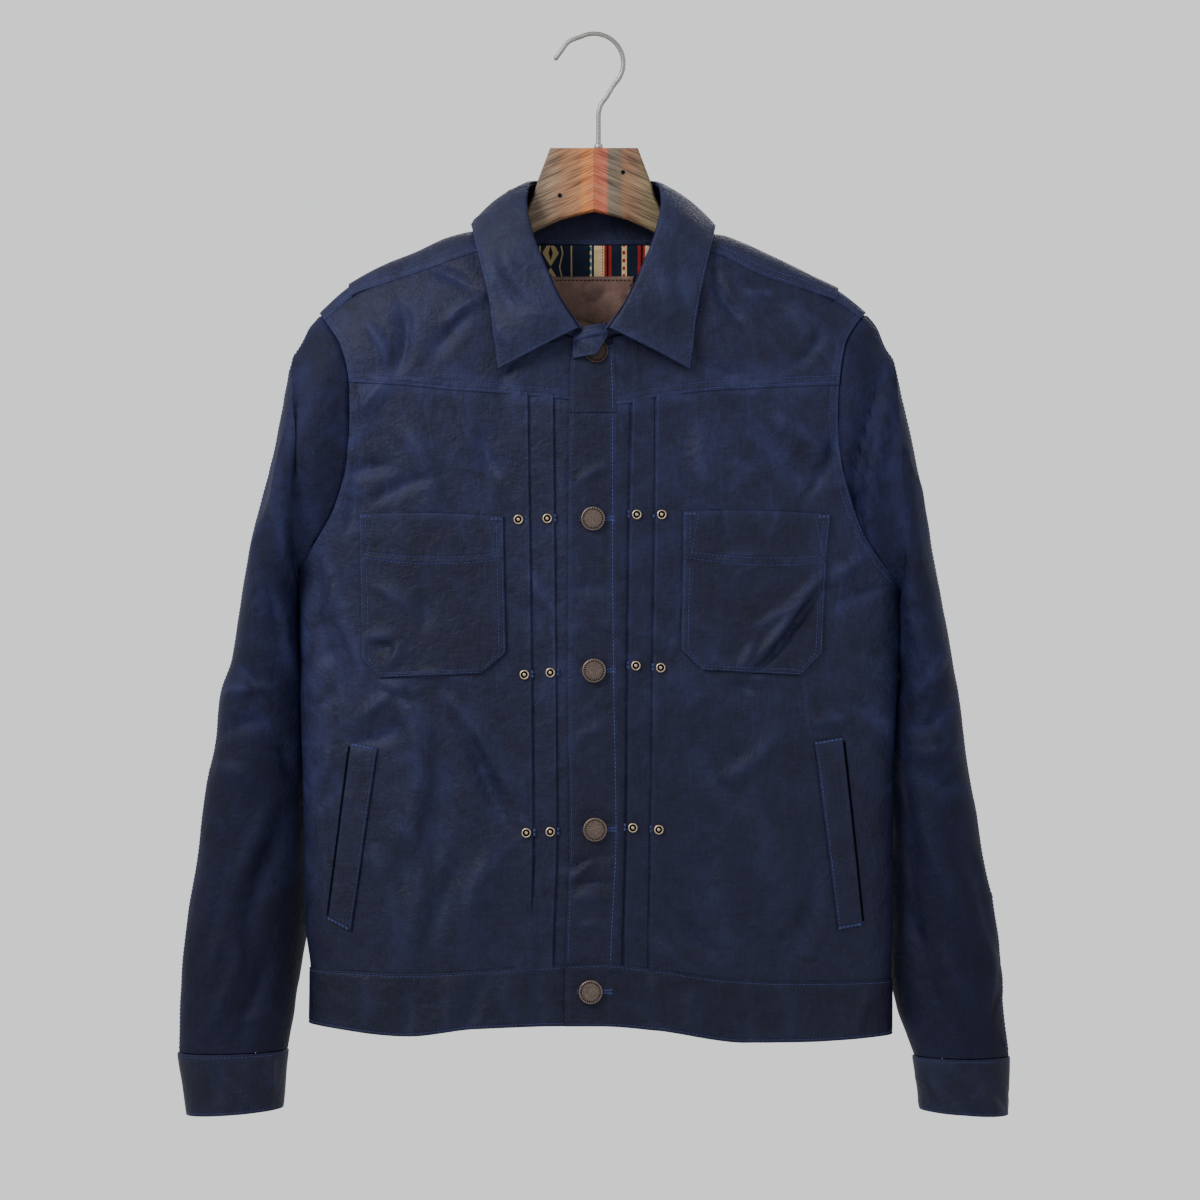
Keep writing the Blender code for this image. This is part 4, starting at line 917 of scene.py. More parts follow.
def neckline_z(x):
    """The fronts' neck edge, under the collar's seam."""
    half = smooth(np.abs(x), COLLAR["seam_x"][:5], COLLAR["seam_z"][:5])
    return half - NECKLINE_DROP


def add_front_yoke(side):
    """A front yoke, folded under along its lower edge and stitched down in two rows."""
    sign = SIDES[side]
    neck = sign * FRONT_NECK
    columns = np.concatenate([EDGE_STEPS / 0.115, even(50, 0.09, 1.0), even(44, 1.0, 2.0)[1:]])
    rows = with_edges(0.09, 46)[:, None]
    z = mix(-0.285, -0.230, rows) + 0 * columns
    for _ in range(6):
        x = np.where(columns <= 1, mix(panel_edge(z, side), neck, np.minimum(columns, 1)),
                     mix(neck, centre_edge(z, side), np.maximum(columns - 1, 0)))
        top = np.where(np.abs(x) > FRONT_NECK, read(SHOULDER_SEAM, "z", x), neckline_z(x) + 0.0016)
        z = mix(read(YOKE_SEAM, "z", x), top, rows)
    above = z - read(YOKE_SEAM, "z", x)
    from_side = (panel_edge(z, side) - x) * sign
    lift = YOKE_STEP * rounded(above + 0.0001, FOLDED) * np.clip(1 - (above - 0.01) / 0.05, 0, 1)
    if side == "right":
        lift = lift + beside_placket(x, z, GAP + LAID_ON)
    lift = lift - SINK * two_rows(above) - 0.00035 * two_rows(from_side)
    lift = lift - 0.0015 * (1 - rounded(from_side, FOLDED))
    outer, inner = layers(x, z, FRONT, lift, -CLOTH)
    seams = 0.9 * rubbed(above, 0.006) + 0.8 * rubbed(from_side, 0.006)
    worn = worn_by(x, z, BODY_CREASES, seams)
    add_cloth("yoke_front_" + side, outer, inner, worn, wax[side], ["front_yoke_" + side])
    x_line = np.linspace(panel_edge(-0.28, side), sign * 0.020, 120)
    z_line = np.linspace(-0.276, -0.236, 20)
    for offset in (NEAR_ROW, FAR_ROW):
        stitch_body(front_thread, x_line, read(YOKE_SEAM, "z", x_line) + offset, FRONT, YOKE_STEP - 0.0002)
        stitch_body(front_thread, panel_edge(z_line, side) - sign * offset, z_line, FRONT, 0.0)


def front_face(x, z):
    """How high a front's outer face stands above the body's form."""
    on_yoke = z > read(YOKE_SEAM, "z", x)
    return np.where(on_yoke, YOKE_STEP, pleat_lift(x, z))


def laid_on(name, x, z, from_edge, sewn, base, node, high=LAID_ON, seams=0.0):
    """A piece sewn flat on a front: its edges are rounded over and its stitching sinks in."""
    lift = base + high * rounded(from_edge + 0.00002, 0.0011) - SINK * np.minimum(sewn, 1)
    outer, inner = layers(x, z, FRONT, lift, base)
    worn = worn_by(x, z, BODY_CREASES, seams + 0.75 * rubbed(from_edge))
    add_cloth(name, outer, inner, worn, pocket_wax, [node])


def add_placket():
    """The button band, in two pieces, with a stitched edge on each side."""
    seam_row = LAID_ON - 0.0002  # height of its stitches

    def band(name, bottom, top, rows, base, node):
        start, end = bottom(0.0), top(0.0)
        across = with_edges(0.037, 10)
        up = with_edges(end - start, rows)[:, None]
        z = mix(start, end, up) + 0 * across
        for _ in range(4):
            left, right = (read(FRONT_LINES, "placket_" + side, z) for side in SIDES)
            x = mix(left, right + 0.0012, across)
            z = mix(bottom(x), top(x), up)
        left, right = (read(FRONT_LINES, "placket_" + side, z) for side in SIDES)
        from_edge = np.minimum(x - left, (1 - up) * (end - start))
        laid_on(name, x, z, from_edge, groove(from_edge, NEAR_ROW), base, node,
                seams=0.4 * groove(x, right, 0.004))
        z = np.linspace(start + 0.003, end - 0.003, 200)
        left, right = (read(FRONT_LINES, "placket_" + side, z) for side in SIDES)
        stitch_body(front_thread, left + NEAR_ROW, z, FRONT, base + seam_row)
        stitch_body(bright_thread, right - 0.0015, z, FRONT, base + seam_row + 0.0002)

    def neck(x):
        return mix(-0.2600, -0.2490, np.clip((x + 0.0179) / 0.033, 0, 1))

    def above_hem_band(x):
        return read(BAND_SEAM, "z", x) - 0.001

    band("button_band_top", level(-0.3035), neck, 16, YOKE_STEP + GAP, "placket_upper")
    band("button_band", above_hem_band, level(PLACKET_JOIN), 150, BAND_SEAT, "placket_lower")


# --- Back, hem band ------------------------------------------------------------------------------


def add_back_panel():
    """The back in one piece: up from the hem band, over the crest and down to the shoulder seam."""
    beside_fold = [0.985, 0.992, 0.997, 1.0, 1.003, 1.006, 1.01, 1.015, 1.03, 1.06, 1.12, 1.2]
    half = np.concatenate([EDGE_STEPS / 0.045, even(14, 0.25, 0.97), beside_fold, even(26, 1.3, 2.0),
                           even(24, 2.0, 3.0)[1:]])
    columns = np.concatenate([half - 3, (3 - half[:-1])[::-1]])

    def lines(z):
        out = []
        for k, u in enumerate(columns):
            side = "left" if u < 0 else "right"
            sign, outward, zk = SIDES[side], 3 - abs(u), z[:, k]
            fold = read(BACK_PLEAT, "x", zk) * sign
            if outward <= 1:
                out.append(mix(panel_edge(zk, side), fold, outward))
            elif outward <= 2:
                out.append(mix(fold, sign * BACK_NECK, outward - 1))
            else:
                out.append(mix(sign * BACK_NECK, 0, outward - 2) + 0 * zk)
        return np.stack(out, axis=1)

    down = np.concatenate([[0, 0.002, 0.005, 0.01, 0.018, 0.028, 0.04, 0.055], even(150, 0.07, 1.0)])
    over_crest = [0.03, 0.08, 0.15, 0.25, 0.37, 0.5, 0.62, 0.72, 0.8, 0.86, 0.91, 0.95, 0.975, 0.99, 1.0]
    rows = np.concatenate([-down[::-1], over_crest])[:, None]
    z = np.where(rows < 0, mix(-0.2, -0.75, -rows), -0.21) + 0 * columns
    for _ in range(6):
        x = lines(z)
        crest = read(CREST, "z", x)
        nape = smooth(np.abs(x), COLLAR["seam_x"][:4:-1], COLLAR["seam_z"][:4:-1]) - NECKLINE_DROP
        crest = np.where(np.abs(x) < BACK_NECK - 1e-6, nape, crest)
        below = mix(crest, read(BAND_SEAM, "z", x) - 0.002, -rows)
        z = np.where(rows <= 0, below, mix(crest, read(SHOULDER_SEAM, "z", x), rows))
    above_seam = z - read(SHOULDER_SEAM, "z", x)
    in_front = rows > 0
    lip = np.where(in_front & (np.abs(x) > BACK_NECK), 0.0009 * rounded(above_seam, FOLDED), 0.0009)
    sewn = np.where(in_front, two_rows(above_seam), 0)
    lift = back_pleat_lift(x, z) + lip * np.clip((z + 0.26) / 0.04, 0, 1) - SINK * sewn
    outer, inner = (np.where(in_front[..., None], in_front_of, behind) for in_front_of, behind in zip(
        layers(x, z, FRONT, lift, -CLOTH), layers(x, z, BACK, lift, -CLOTH)))
    seams = np.where(in_front, 0.7 * rubbed(above_seam, 0.006), 0)
    seams = seams + 0.4 * groove(np.abs(x), read(BACK_PLEAT, "x", z), 0.0015)
    worn = worn_by(x, z, BACK_CREASES, seams)
    main = rows[:, 0] <= 0
    add_cloth("back", outer[main], inner[main], worn[main], wax["left"], ["back_panel"])
    over = rows[:, 0] >= 0
    for side, sign in SIDES.items():
        shoulder = np.ix_(over, columns * sign >= 1.0)
        add_cloth("back_over_shoulder_" + side, outer[shoulder], inner[shoulder], worn[shoulder],
                  wax[side], ["back_panel"])
        x_line = np.linspace(sign * 0.098, sign * 0.206, 60)
        for offset in (NEAR_ROW, FAR_ROW):
            stitch_body(front_thread, x_line, read(SHOULDER_SEAM, "z", x_line) + offset, FRONT, 0.0007)


def add_hem_band():
    """The hem band, folded double and stitched along both edges; its right end laps over."""
    up = with_edges(0.048, 16)[:, None]

    def band(name, face, columns, left, right, inner_lift, outer_lift, node, free_end=None):
        z = mix(-0.795, -0.745, up) + 0 * columns
        for _ in range(4):
            x = mix(left(z), right(z), columns)
            z = mix(read(HEM, "z", x), read(BAND_SEAM, "z", x), up)
        from_edge = np.minimum(z - read(HEM, "z", x), read(BAND_SEAM, "z", x) - z)
        from_edge = np.maximum(from_edge, 0)
        if free_end is not None:
            from_edge = np.minimum(from_edge, np.maximum(x - free_end, 0))
        lift = outer_lift(x) * (0.35 + 0.65 * rounded(from_edge, FOLDED))
        lift = lift - SINK * groove(from_edge, NEAR_ROW)
        share = 0.6 if face == FRONT else 1.0
        creased = crease_height(x, z, BAND_CREASES) * share
        outer, inner = layers(x, z, face, lift + creased, inner_lift(x) + creased)
        worn = worn_by(x, z, BAND_CREASES, 0.8 * rubbed(from_edge))
        add_cloth(name, outer, inner, worn, band_wax, [node])
        ends = np.linspace(left(-0.77) + 0.002, right(-0.77) - 0.002, 260)
        for line in (read(HEM, "z", ends) + NEAR_ROW, read(BAND_SEAM, "z", ends) - NEAR_ROW):
            raised = crease_height(ends, line, BAND_CREASES) * share
            stitch_body(front_thread, ends, line, face, outer_lift(ends) - 0.0003 + raised)

    def side_left(z):
        return panel_edge(z, "left")

    def side_right(z):
        return panel_edge(z, "right")

    def on_top(x):
        """1 where the right band lies over the left one, sinking to 0 past the left one's end."""
        return np.clip((BAND_LAP + 0.0008 + 0.014 - x) / 0.012, 0, 1)

    under, proud = level(-CLOTH), level(BAND - CLOTH)
    columns = np.concatenate([[0, 0.003, 0.008, 0.015, 0.025, 0.04, 0.06], even(90, 0.08, 1.0)])
    band("hem_band_front_left", FRONT, columns, side_left, level(BAND_LAP), under, proud, "hem_band_left")
    start = float(read(FRONT_LINES, "placket_left", -0.77))
    from_start = np.concatenate([EDGE_STEPS / 0.26, even(100, 0.045, 0.92), (1 - columns[:7])[::-1]])
    band("hem_band_front_right", FRONT, from_start, level(start), side_right,
         lambda x: mix(-CLOTH, BAND - CLOTH + GAP, on_top(x)),
         lambda x: mix(BAND - CLOTH, BAND_OVER, on_top(x)), "hem_band_right", free_end=start)
    full = np.concatenate([columns / 2, (1 - columns[:-1] / 2)[::-1]])
    band("hem_band_rear", BACK, full, side_left, side_right, under, proud, "hem_band_back")


# --- Collar --------------------------------------------------------------------------------------


def collar_line(share, line):
    """The collar's seam, roll or edge, share from -1 at the left front to 1 at the right."""
    round_neck = 1 - np.abs(share)
    x, y, z = (smooth(round_neck, COLLAR["share"], COLLAR[f"{line}_{axis}"]) for axis in "xyz")
    return np.stack([x * np.where(share > 0, 1, -1), y, z], axis=-1)


def collar_surface(share, across, start, end, bow):
    """Points of the collar from one of its lines to another, bowed out between them."""
    a, b = collar_line(share, start), collar_line(share, end)
    step = 0.004
    beside = collar_line(np.minimum(share + step, 1), end) - collar_line(np.maximum(share - step, -1), end)
    out = unit(np.cross(beside, a - b))
    away = b[..., 0] * out[..., 0] + (b[..., 1] + NECK_AXIS) * out[..., 1]
    out = np.where((away < 0)[..., None], -out, out)
    return mix(a, b, across[..., None]) + out * (4 * bow * across * (1 - across))[..., None]


def grid_normals(points):
    """Normals of a grid of points, by its own slopes."""
    return unit(np.cross(np.gradient(points, axis=1), np.gradient(points, axis=0)))


def facing(normals, away):
    """The same normals, turned to point the way the second array does."""
    return np.where((normals * away).sum(axis=-1, keepdims=True) < 0, -normals, normals)


COLLAR_CREASES = crease_table(
    1.0,
    (-82, -180, -57, -224, 9, -1.6),
    (-70, -176, -46, -214, 7, 1.2),
    (62, -182, 80, -222, 8, -1.3),
    (50, -196, 66, -236, 8, 1.0),
    (-78, -228, -64, -250, 7, 1.0),
    (74, -236, 82, -258, 6, 1.0),
)


def add_collar_leaf():
    """The stitched leaf that falls over the collar's roll."""
    half = with_edges(COLLAR_HALF, 110)
    share, across = np.broadcast_arrays(np.concatenate([half - 1, 1 - half[-2::-1]])[None, :],
                                        with_edges(LEAF_WIDE, 26)[:, None])
    points = collar_surface(share, across, "roll", "edge", LEAF_BOW)
    outward = np.stack([points[..., 0], points[..., 1] + NECK_AXIS, 0.02 + 0 * share], axis=-1)
    normals = facing(grid_normals(points), outward)
    length = np.linalg.norm(collar_line(share, "edge") - collar_line(share, "roll"), axis=-1)
    from_end = (1 - np.abs(share)) * COLLAR_HALF
    from_edge = np.minimum((1 - across) * length, from_end)
    from_roll = across * length
    high = LEAF * np.minimum(rounded(from_edge + 0.00002, FOLDED), rounded(from_roll + 0.00002, 0.0030))
    lift = high - SINK * groove(from_edge, NEAR_ROW)
    wave = crease_height(points[..., 0], points[..., 2], COLLAR_CREASES)
    wave = wave + 0.0012 * np.sin(26 * share) * across * (1 - across) * 4
    wave = wave + crumple(points[..., 0], points[..., 2] + 0.3 * points[..., 1], 7.0)
    outer = points + normals * (wave - LEAF / 2 + lift)[..., None]
    inner = points + normals * (wave - LEAF / 2)[..., None]
    seams = 0.8 * rubbed(from_edge) + 0.25 * rubbed(from_roll, 0.003)
    worn = worn_by(points[..., 0], points[..., 2], COLLAR_CREASES, seams)
    add_cloth("collar", outer, inner, worn, collar_wax, ["collar_leaf"])
    top = points + normals * (wave + LEAF / 2 - 0.0003)[..., None]
    row = nearest((1 - across[:, 0]) * LEAF_WIDE, NEAR_ROW)
    keep = np.abs(share[0]) < 1 - NEAR_ROW / COLLAR_HALF
    front_thread.row(top[row][keep], normals[row][keep])
    for from_point in ((1 + share[0]) * COLLAR_HALF, (1 - share[0]) * COLLAR_HALF):
        column = nearest(from_point, NEAR_ROW)
        front_thread.row(top[3:row, column], normals[3:row, column])


def add_collar_stand():
    """The collar's stand round the neck, inside its roll."""
    share, across = np.broadcast_arrays(even(150, -1, 1)[None, :], with_edges(STAND_WIDE, 8)[:, None])
    points = collar_surface(share, mix(1.09, 0.06, across), "roll", "seam", 0.0)
    inward = unit(np.stack([-points[..., 0], -0.2 * points[..., 1], 0 * share], axis=-1))
    points = points + inward * (0.0026 * across)[..., None]
    normals = facing(grid_normals(points), inward + [0, 0, 1e-4])
    ends = rounded((1 - np.abs(share)) * COLLAR_HALF + 0.0001, 0.0015)
    high = STAND * (0.3 + 0.7 * rounded((1 - across) * STAND_WIDE + 0.0001, 0.0015) * ends)
    inner = points - normals * (STAND / 2)
    outer = inner + normals * high[..., None]
    seams = 0.7 * rubbed(across * STAND_WIDE) + 0.5 * rubbed((1 - across) * STAND_WIDE)
    worn = worn_by(share * 0.2, across * 0.04, COLLAR_CREASES, seams)
    add_cloth("collar_band", outer, inner, worn, collar_wax, ["collar_stand"])
    for place in (0.10, 0.86):
        row = nearest(across[:, 0], place)
        front_thread.row(outer[row][4:-4], normals[row][4:-4])


NECK_FLAP = table(  # the placket's top, folded over the neck button: upper and lower edge
    "upper_x upper_z lower_x lower_z lift",
    (-0.0165, -0.2450, -0.0172, -0.2618, 0.0034),
    (-0.0125, -0.2432, -0.0110, -0.2606, 0.0058),
    (-0.0060, -0.2412, -0.0045, -0.2598, 0.0086),
    (0.0010, -0.2392, 0.0012, -0.2588, 0.0092),
    (0.0070, -0.2375, 0.0062, -0.2516, 0.0088),
    (0.0119, -0.2361, 0.0106, -0.2444, 0.0072),
)
STAND_END = table(  # the collar stand's end, buttoned over above it
    "upper_x upper_z lower_x lower_z lift",
    (-0.0160, -0.2395, -0.0165, -0.2470, 0.0050),
    (-0.0080, -0.2376, -0.0080, -0.2452, 0.0092),
    (0.0010, -0.2358, 0.0010, -0.2430, 0.0108),
    (0.0100, -0.2342, 0.0112, -0.2408, 0.0086),
)


def add_neck_tabs():
    """The two cloth ends at the throat, one over the other and both over the neck button."""
    wide = 0.030
    for name, edges, high, rows, node in (("neck_flap", NECK_FLAP, 0.018, 30, "placket_upper"),
                                          ("stand_end", STAND_END, 0.0085, 16, "collar_stand")):
        knots = np.arange(len(edges["lift"]), dtype=float)
        across, down = with_edges(wide, 30)[None, :], with_edges(high, rows)[:, None]
        at = {column: smooth(across * knots[-1], knots, edges[column]) for column in edges}
        x = mix(at["upper_x"], at["lower_x"], down)
        z = mix(at["upper_z"], at["lower_z"], down)
        from_edge = np.minimum(np.minimum(across, 1 - across) * wide, (1 - down) * high) + 0 * x
        bulge = 0.0010 * np.sin(math.pi * down) * np.sin(math.pi * across)
        base = at["lift"] - 0.0018 * (1 - down) + bulge + 0.0006 * grain(x, z, 0.006, 21.0)
        lift = base + (LAID_ON * rounded(from_edge + 0.00002, 0.0011) - SINK * groove(from_edge, NEAR_ROW))
        outer, inner = layers(x, z, FRONT, lift, base)
        worn = worn_by(x, z, BODY_CREASES, 1.1 * rubbed(from_edge, 0.0022))
        add_cloth(name, outer, inner, worn, collar_wax, [node])
        row = nearest((1 - down[:, 0]) * high, NEAR_ROW)
        points, normals = torso(x[row], z[row], FRONT, lift[row])
        front_thread.row(points[4:-4], normals[4:-4])


# --- Sleeves and cuffs ---------------------------------------------------------------------------

SLEEVE_TUCK = 0.0055  # how far the sleeve's inner side runs on behind the body


def sleeve_form(side, section, angle):
    """Points of the sleeve: angle 0 on its outer side, positive round the front, pi inside."""
    rows = SLEEVES[side]
    knots = np.arange(1, len(rows["out_x"]) + 1)
    at = {name: smooth(section, knots, rows[name]) for name in rows}
    outer = (1 + np.cos(angle)) / 2
    y = at["mid"] - at["depth"] * np.sin(angle) + at["swing"] * (1 - outer) ** 2
    tuck = SLEEVE_TUCK * np.exp(-(((section - 4.0) / 3.2) ** 4)) * (1 - outer)
    at["in_x"] = at["in_x"] - SIDES[side] * tuck
    tube = np.stack([mix(at["in_x"], at["out_x"], outer), y, mix(at["in_z"], at["out_z"], outer)], axis=-1)
    share = np.abs(angle) / math.pi
    face = np.where(angle > 0, FRONT, BACK)
    x, z = (read(ARMHOLE, f"{side}_{axis}", share) for axis in "xz")
    half = np.where(face == FRONT, depth(z, FRONT), depth(z, BACK))
    joined = np.sqrt(np.clip(share / 0.03, 0, 1))  # front and back meet on the shoulder
    head = np.stack([x, face * half * joined * np.sqrt(np.maximum(fullness(x, z), 0)), z], axis=-1)
    return mix(head, tube, np.clip(section, 0, 1)[..., None])


def add_sleeve(side):
    """A sleeve in two halves, sewn down its outer and inner edges."""
    sign = SIDES[side]
    creases = SLEEVE_CREASES[side]
    near = np.array([0, 0.004, 0.01, 0.018, 0.028, 0.04, 0.055, 0.075, 0.1])
    shares = np.concatenate([near, even(34, 0.13, 0.87), (1 - near)[::-1]])
    head = [0, 0.01, 0.03, 0.06, 0.1, 0.15]
    sections = np.concatenate([head, even(8, 0.22, 1.0), even(150, 1.08, 12.9), [12.95, 13.0]])
    for face, name in ((FRONT, "front"), (BACK, "back")):
        u, s = np.broadcast_arrays(shares[None, :], sections[:, None])
        angle = np.clip(math.pi * u, 1e-6, math.pi - 1e-6) * -face
        points = sleeve_form(side, s, angle)
        centre = (points[:, :1] + points[:, -1:]) / 2
        normals = facing(grid_normals(points), points - centre + np.array([0, face * 0.02, 0]))
        normals[..., 1] *= np.clip(np.minimum(u, 1 - u) / 0.05, 0, 1)
        normals = unit(normals)
        full = np.sin(math.pi * u)
        shift = 0.0 if face == FRONT else 0.018
        folds = crease_height(points[..., 0], points[..., 2] + shift, creases)
        folds = folds * np.minimum(1, 1.6 * full) * (1.0 if face == FRONT else -0.8)
        small = crumple(points[..., 0] + 0.4 * points[..., 1], points[..., 2], 11.0 + sign + face)
        into = np.clip(s / 0.06, 0, 1)
        head = 0.0026 * groove(s, 0.35, 0.3) * (1 - full * 0.3)
        lift = (folds + small + head) * into - 0.0016 * (1 - into)
        seam_gap = np.minimum(u, 1 - u) * 0.14
        lift = lift - 0.0009 * groove(seam_gap, 0, 0.0016) * into
        points[..., 0] -= sign * 0.0012 * (1 - into)
        outer = points + normals * lift[..., None]
        inner = points + normals * (np.minimum(lift, 0.002) - CLOTH)[..., None]
        seams = 0.5 * rubbed(seam_gap) + 0.3 * rubbed(s, 0.12) * into
        worn = worn_by(points[..., 0], points[..., 2], creases, seams)
        add_cloth(f"sleeve_{side}_{name}", outer, inner, worn, sleeve_wax, [f"sleeve_{name}_{side}"])
        for at in (0.03, 0.055):
            column = nearest(shares, at)
            front_thread.row(outer[8:-2, column], normals[8:-2, column])


def add_cuff(side):
    """A cuff, folded double along its lower edge and open at the slit behind."""
    long, high = 0.17, 0.050
    u, v = np.broadcast_arrays(with_edges(long, 110)[None, :], with_edges(high, 14)[:, None])
    start = (CUFF_SLIT - 1) * math.pi
    angle = mix(start, start + 2 * math.pi - SLIT_ANGLE, u)
    top, bottom = (sleeve_form(side, np.full(u.shape, section), angle) for section in (CUFF_START, CUFF_END))
    points = mix(top, bottom, v[..., None])
    centre = points.mean(axis=1, keepdims=True)
    normals = facing(grid_normals(points), points - centre)
    from_edge = np.minimum(np.minimum(v, 1 - v) * high, np.minimum(u, 1 - u) * long)
    x, y, z = np.moveaxis(points, -1, 0)
    folds = crease_height(x, z, CUFF_CREASES) * np.where(y < 0.01, 1, -0.6)
    base = folds + crumple(x + y, z, 13.0 + SIDES[side]) - CLOTH
    thick = BAND * (0.35 + 0.65 * rounded(from_edge, 0.0013)) - SINK * groove(from_edge, NEAR_ROW)
    outer = points + normals * (base + thick)[..., None]
    inner = points + normals * base[..., None]
    worn = worn_by(x, z, CUFF_CREASES, 0.9 * rubbed(from_edge))
    add_cloth(f"cuff_cloth_{side}", outer, inner, worn, band_wax, [f"cuff_{side}"])
    for at in (NEAR_ROW, high - NEAR_ROW):
        row = nearest(v[:, 0] * high, at)
        front_thread.row(outer[row, 6:-6], normals[row, 6:-6])


# --- Pieces laid on the fronts -------------------------------------------------------------------

CORNER_ROW = 0.75  # where a pocket's lower corners start, as a share of its height
POCKET_WIDE = 0.114
TACK_HEIGHT = 2 * GAP + LAID_ON - 0.0001  # stitches on a laid-on piece
TACK_PITCH = 0.0004


def patch_grid(edges, across, up, sag_top, sag_bottom):
    """x and z of a patch's grid, whose rows run between the edges in its table."""
    knots = np.arange(len(edges["left_x"]))
    v = up[:, None] * knots[-1]
    corner = {column: np.interp(v, knots, edges[column]) for column in edges}
    x = mix(corner["left_x"], corner["right_x"], across)
    z = mix(corner["left_z"], corner["right_z"], across)
    return x, z - 4 * across * (1 - across) * mix(sag_top, sag_bottom, up[:, None])


def on_grid(values, across, up, u, v):
    """A patch's values read at shares u across and v down it."""
    i = np.searchsorted(across, u).clip(1, len(across) - 1)
    j = np.searchsorted(up, v).clip(1, len(up) - 1)
    fu = (u - across[i - 1]) / (across[i] - across[i - 1])
    fv = (v - up[j - 1]) / (up[j] - up[j - 1])
    upper = mix(values[j - 1, i - 1], values[j - 1, i], fu)
    return mix(upper, mix(values[j, i - 1], values[j, i], fu), fv)


def add_patch(name, edges, wide, high, counts, sags, rows, node, free="left right top bottom", step=0.0):
    """A piece sewn on a front. rows give its stitching's distance from an edge, and free the edges
    that are rounded; step is how much higher than other such pieces it lies."""
    across, up = with_edges(wide, counts[0]), with_edges(high, counts[1])
    if len(edges["left_x"]) == 5:
        up = np.unique(np.concatenate([up, [CORNER_ROW]]))
    x, z = patch_grid(edges, across, up, *sags)
    off = {"left": across[None, :] * wide, "right": (1 - across[None, :]) * wide,
           "top": up[:, None] * high, "bottom": (1 - up[:, None]) * high}
    off = {edge: np.broadcast_to(distance, x.shape) for edge, distance in off.items()}
    from_edge = np.minimum.reduce([off[edge] for edge in free.split()])
    inside = np.minimum.reduce(list(off.values()))
    base = np.maximum(front_face(x, z), 0) + 2 * GAP + step
    sewn = 0 * x
    for edge, offset in rows:
        sewn = np.maximum(sewn, groove(off[edge], offset) * (inside > offset - 0.0012))
    laid_on(name, x, z, from_edge, sewn, base, node, LAID_ON - step)
    for edge, offset in rows:
        sideways = edge in ("top", "bottom")
        along, aside = (wide, high) if sideways else (high, wide)
        run = mix(offset / along, 1 - offset / along, np.linspace(0, 1, 90))
        at = np.full(90, offset / aside if edge in ("left", "top") else 1 - offset / aside)
        u, v = (run, at) if sideways else (at, run)
        line_x, line_z, foot = (on_grid(values, across, up, u, v) for values in (x, z, base))
        stitch_body(front_thread, line_x, line_z, FRONT, foot + LAID_ON - step - 0.00025)


def tack_along(start, end, drop):
    """Four close rows of stitches on a laid-on piece, each this far below the one before."""
    for k in range(4):
        x, z = (np.linspace(first, last, 14) for first, last in zip(start, end))
        stitch_body(front_thread, x, z - drop * k, FRONT, TACK_HEIGHT)


def pocket_corner(x, z, inward):
    """The tack and the long triangle of stitching at a pocket's top corner."""
    stitch_body(front_thread, np.linspace(x + inward * 0.0126, x + inward * 0.0062, 20),
                np.linspace(z - 0.0015, z - 0.0345, 20), FRONT, TACK_HEIGHT)
    tack_along((x + inward * 0.0008, z - 0.0016), (x + inward * 0.0130, z - 0.0016), TACK_PITCH)


def add_pocket(side, body, top):
    """A chest pocket, whose upper end is under its top band."""
    around = tuple((edge, offset) for edge in ("left", "right") for offset in (0.0016, 0.0056))
    for name in ("left_z", "right_z"):
        body[name][0] += 0.0018
    add_patch("chest_pocket_" + side, body, POCKET_WIDE, 0.090, (34, 34), (POCKET_SAG, 0.0),
              around + (("bottom", 0.0016), ("bottom", 0.0056)), "pocket_" + side,
              "left right bottom", 0.0003)
    add_patch("pocket_band_" + side, top, POCKET_WIDE, 0.036, (34, 12), (-0.0015, POCKET_SAG),
              around + (("bottom", 0.0012), ("bottom", 0.0058)), "pocket_top_" + side)
    for end, inward in (("left", 1), ("right", -1)):
        pocket_corner(float(top[end + "_x"][0]), float(top[end + "_z"][0]), inward)


def add_welt(side, edges):
    """A slanted pocket's welt: its outer edge is the open one, with a near-black strip beside it, painted
    shadow in the pocket's opening.
    """
    open_edge, sewn_edge = ("left", "right") if side == "left" else ("right", "left")
    add_patch("welt_cloth_" + side, edges, 0.021, 0.145, (6, 60), (0.0, 0.0),
              tuple((edge, 0.0016) for edge in (sewn_edge, "top", "bottom")), "welt_" + side)
    ends = np.linspace(0.02, 0.98, 80)
    mouth_x, mouth_z = (mix(edges[f"{open_edge}_{axis}"][0], edges[f"{open_edge}_{axis}"][-1], ends)
                        for axis in "xz")
    # a near-black strip along the open edge: painted shadow in the pocket's opening
    stitch_body(mouth_shadow_strip, mouth_x + 0.0010 * SIDES[side], mouth_z, FRONT, GAP + 0.0003)
    for row, drop in ((0, TACK_PITCH), (-1, -TACK_PITCH)):
        tack_along((edges["left_x"][row], edges["left_z"][row] - drop),
                   (edges["right_x"][row], edges["right_z"][row] - drop), drop)


# --- Small fittings ------------------------------------------------------------------------------

RIM_TICKS = 26  # even ticks round a button's rim
HOLE_END = 0.0175  # a buttonhole ends this far right of its button's middle
LINING, LEATHER = 0.0010, 0.0016  # thickness of the lining and of the patch on it
LINING_BOX = np.array([-0.075, 0.075, -0.2560, -0.1650])  # left, right, bottom and top
PATCH_BOX = np.array([-0.0359, 0.0324, -0.2400, -0.1895])
PATCH_ROW = 0.0028  # the patch's stitching lies this far inside its edge
RIGHT, BEHIND, UP = np.eye(3)


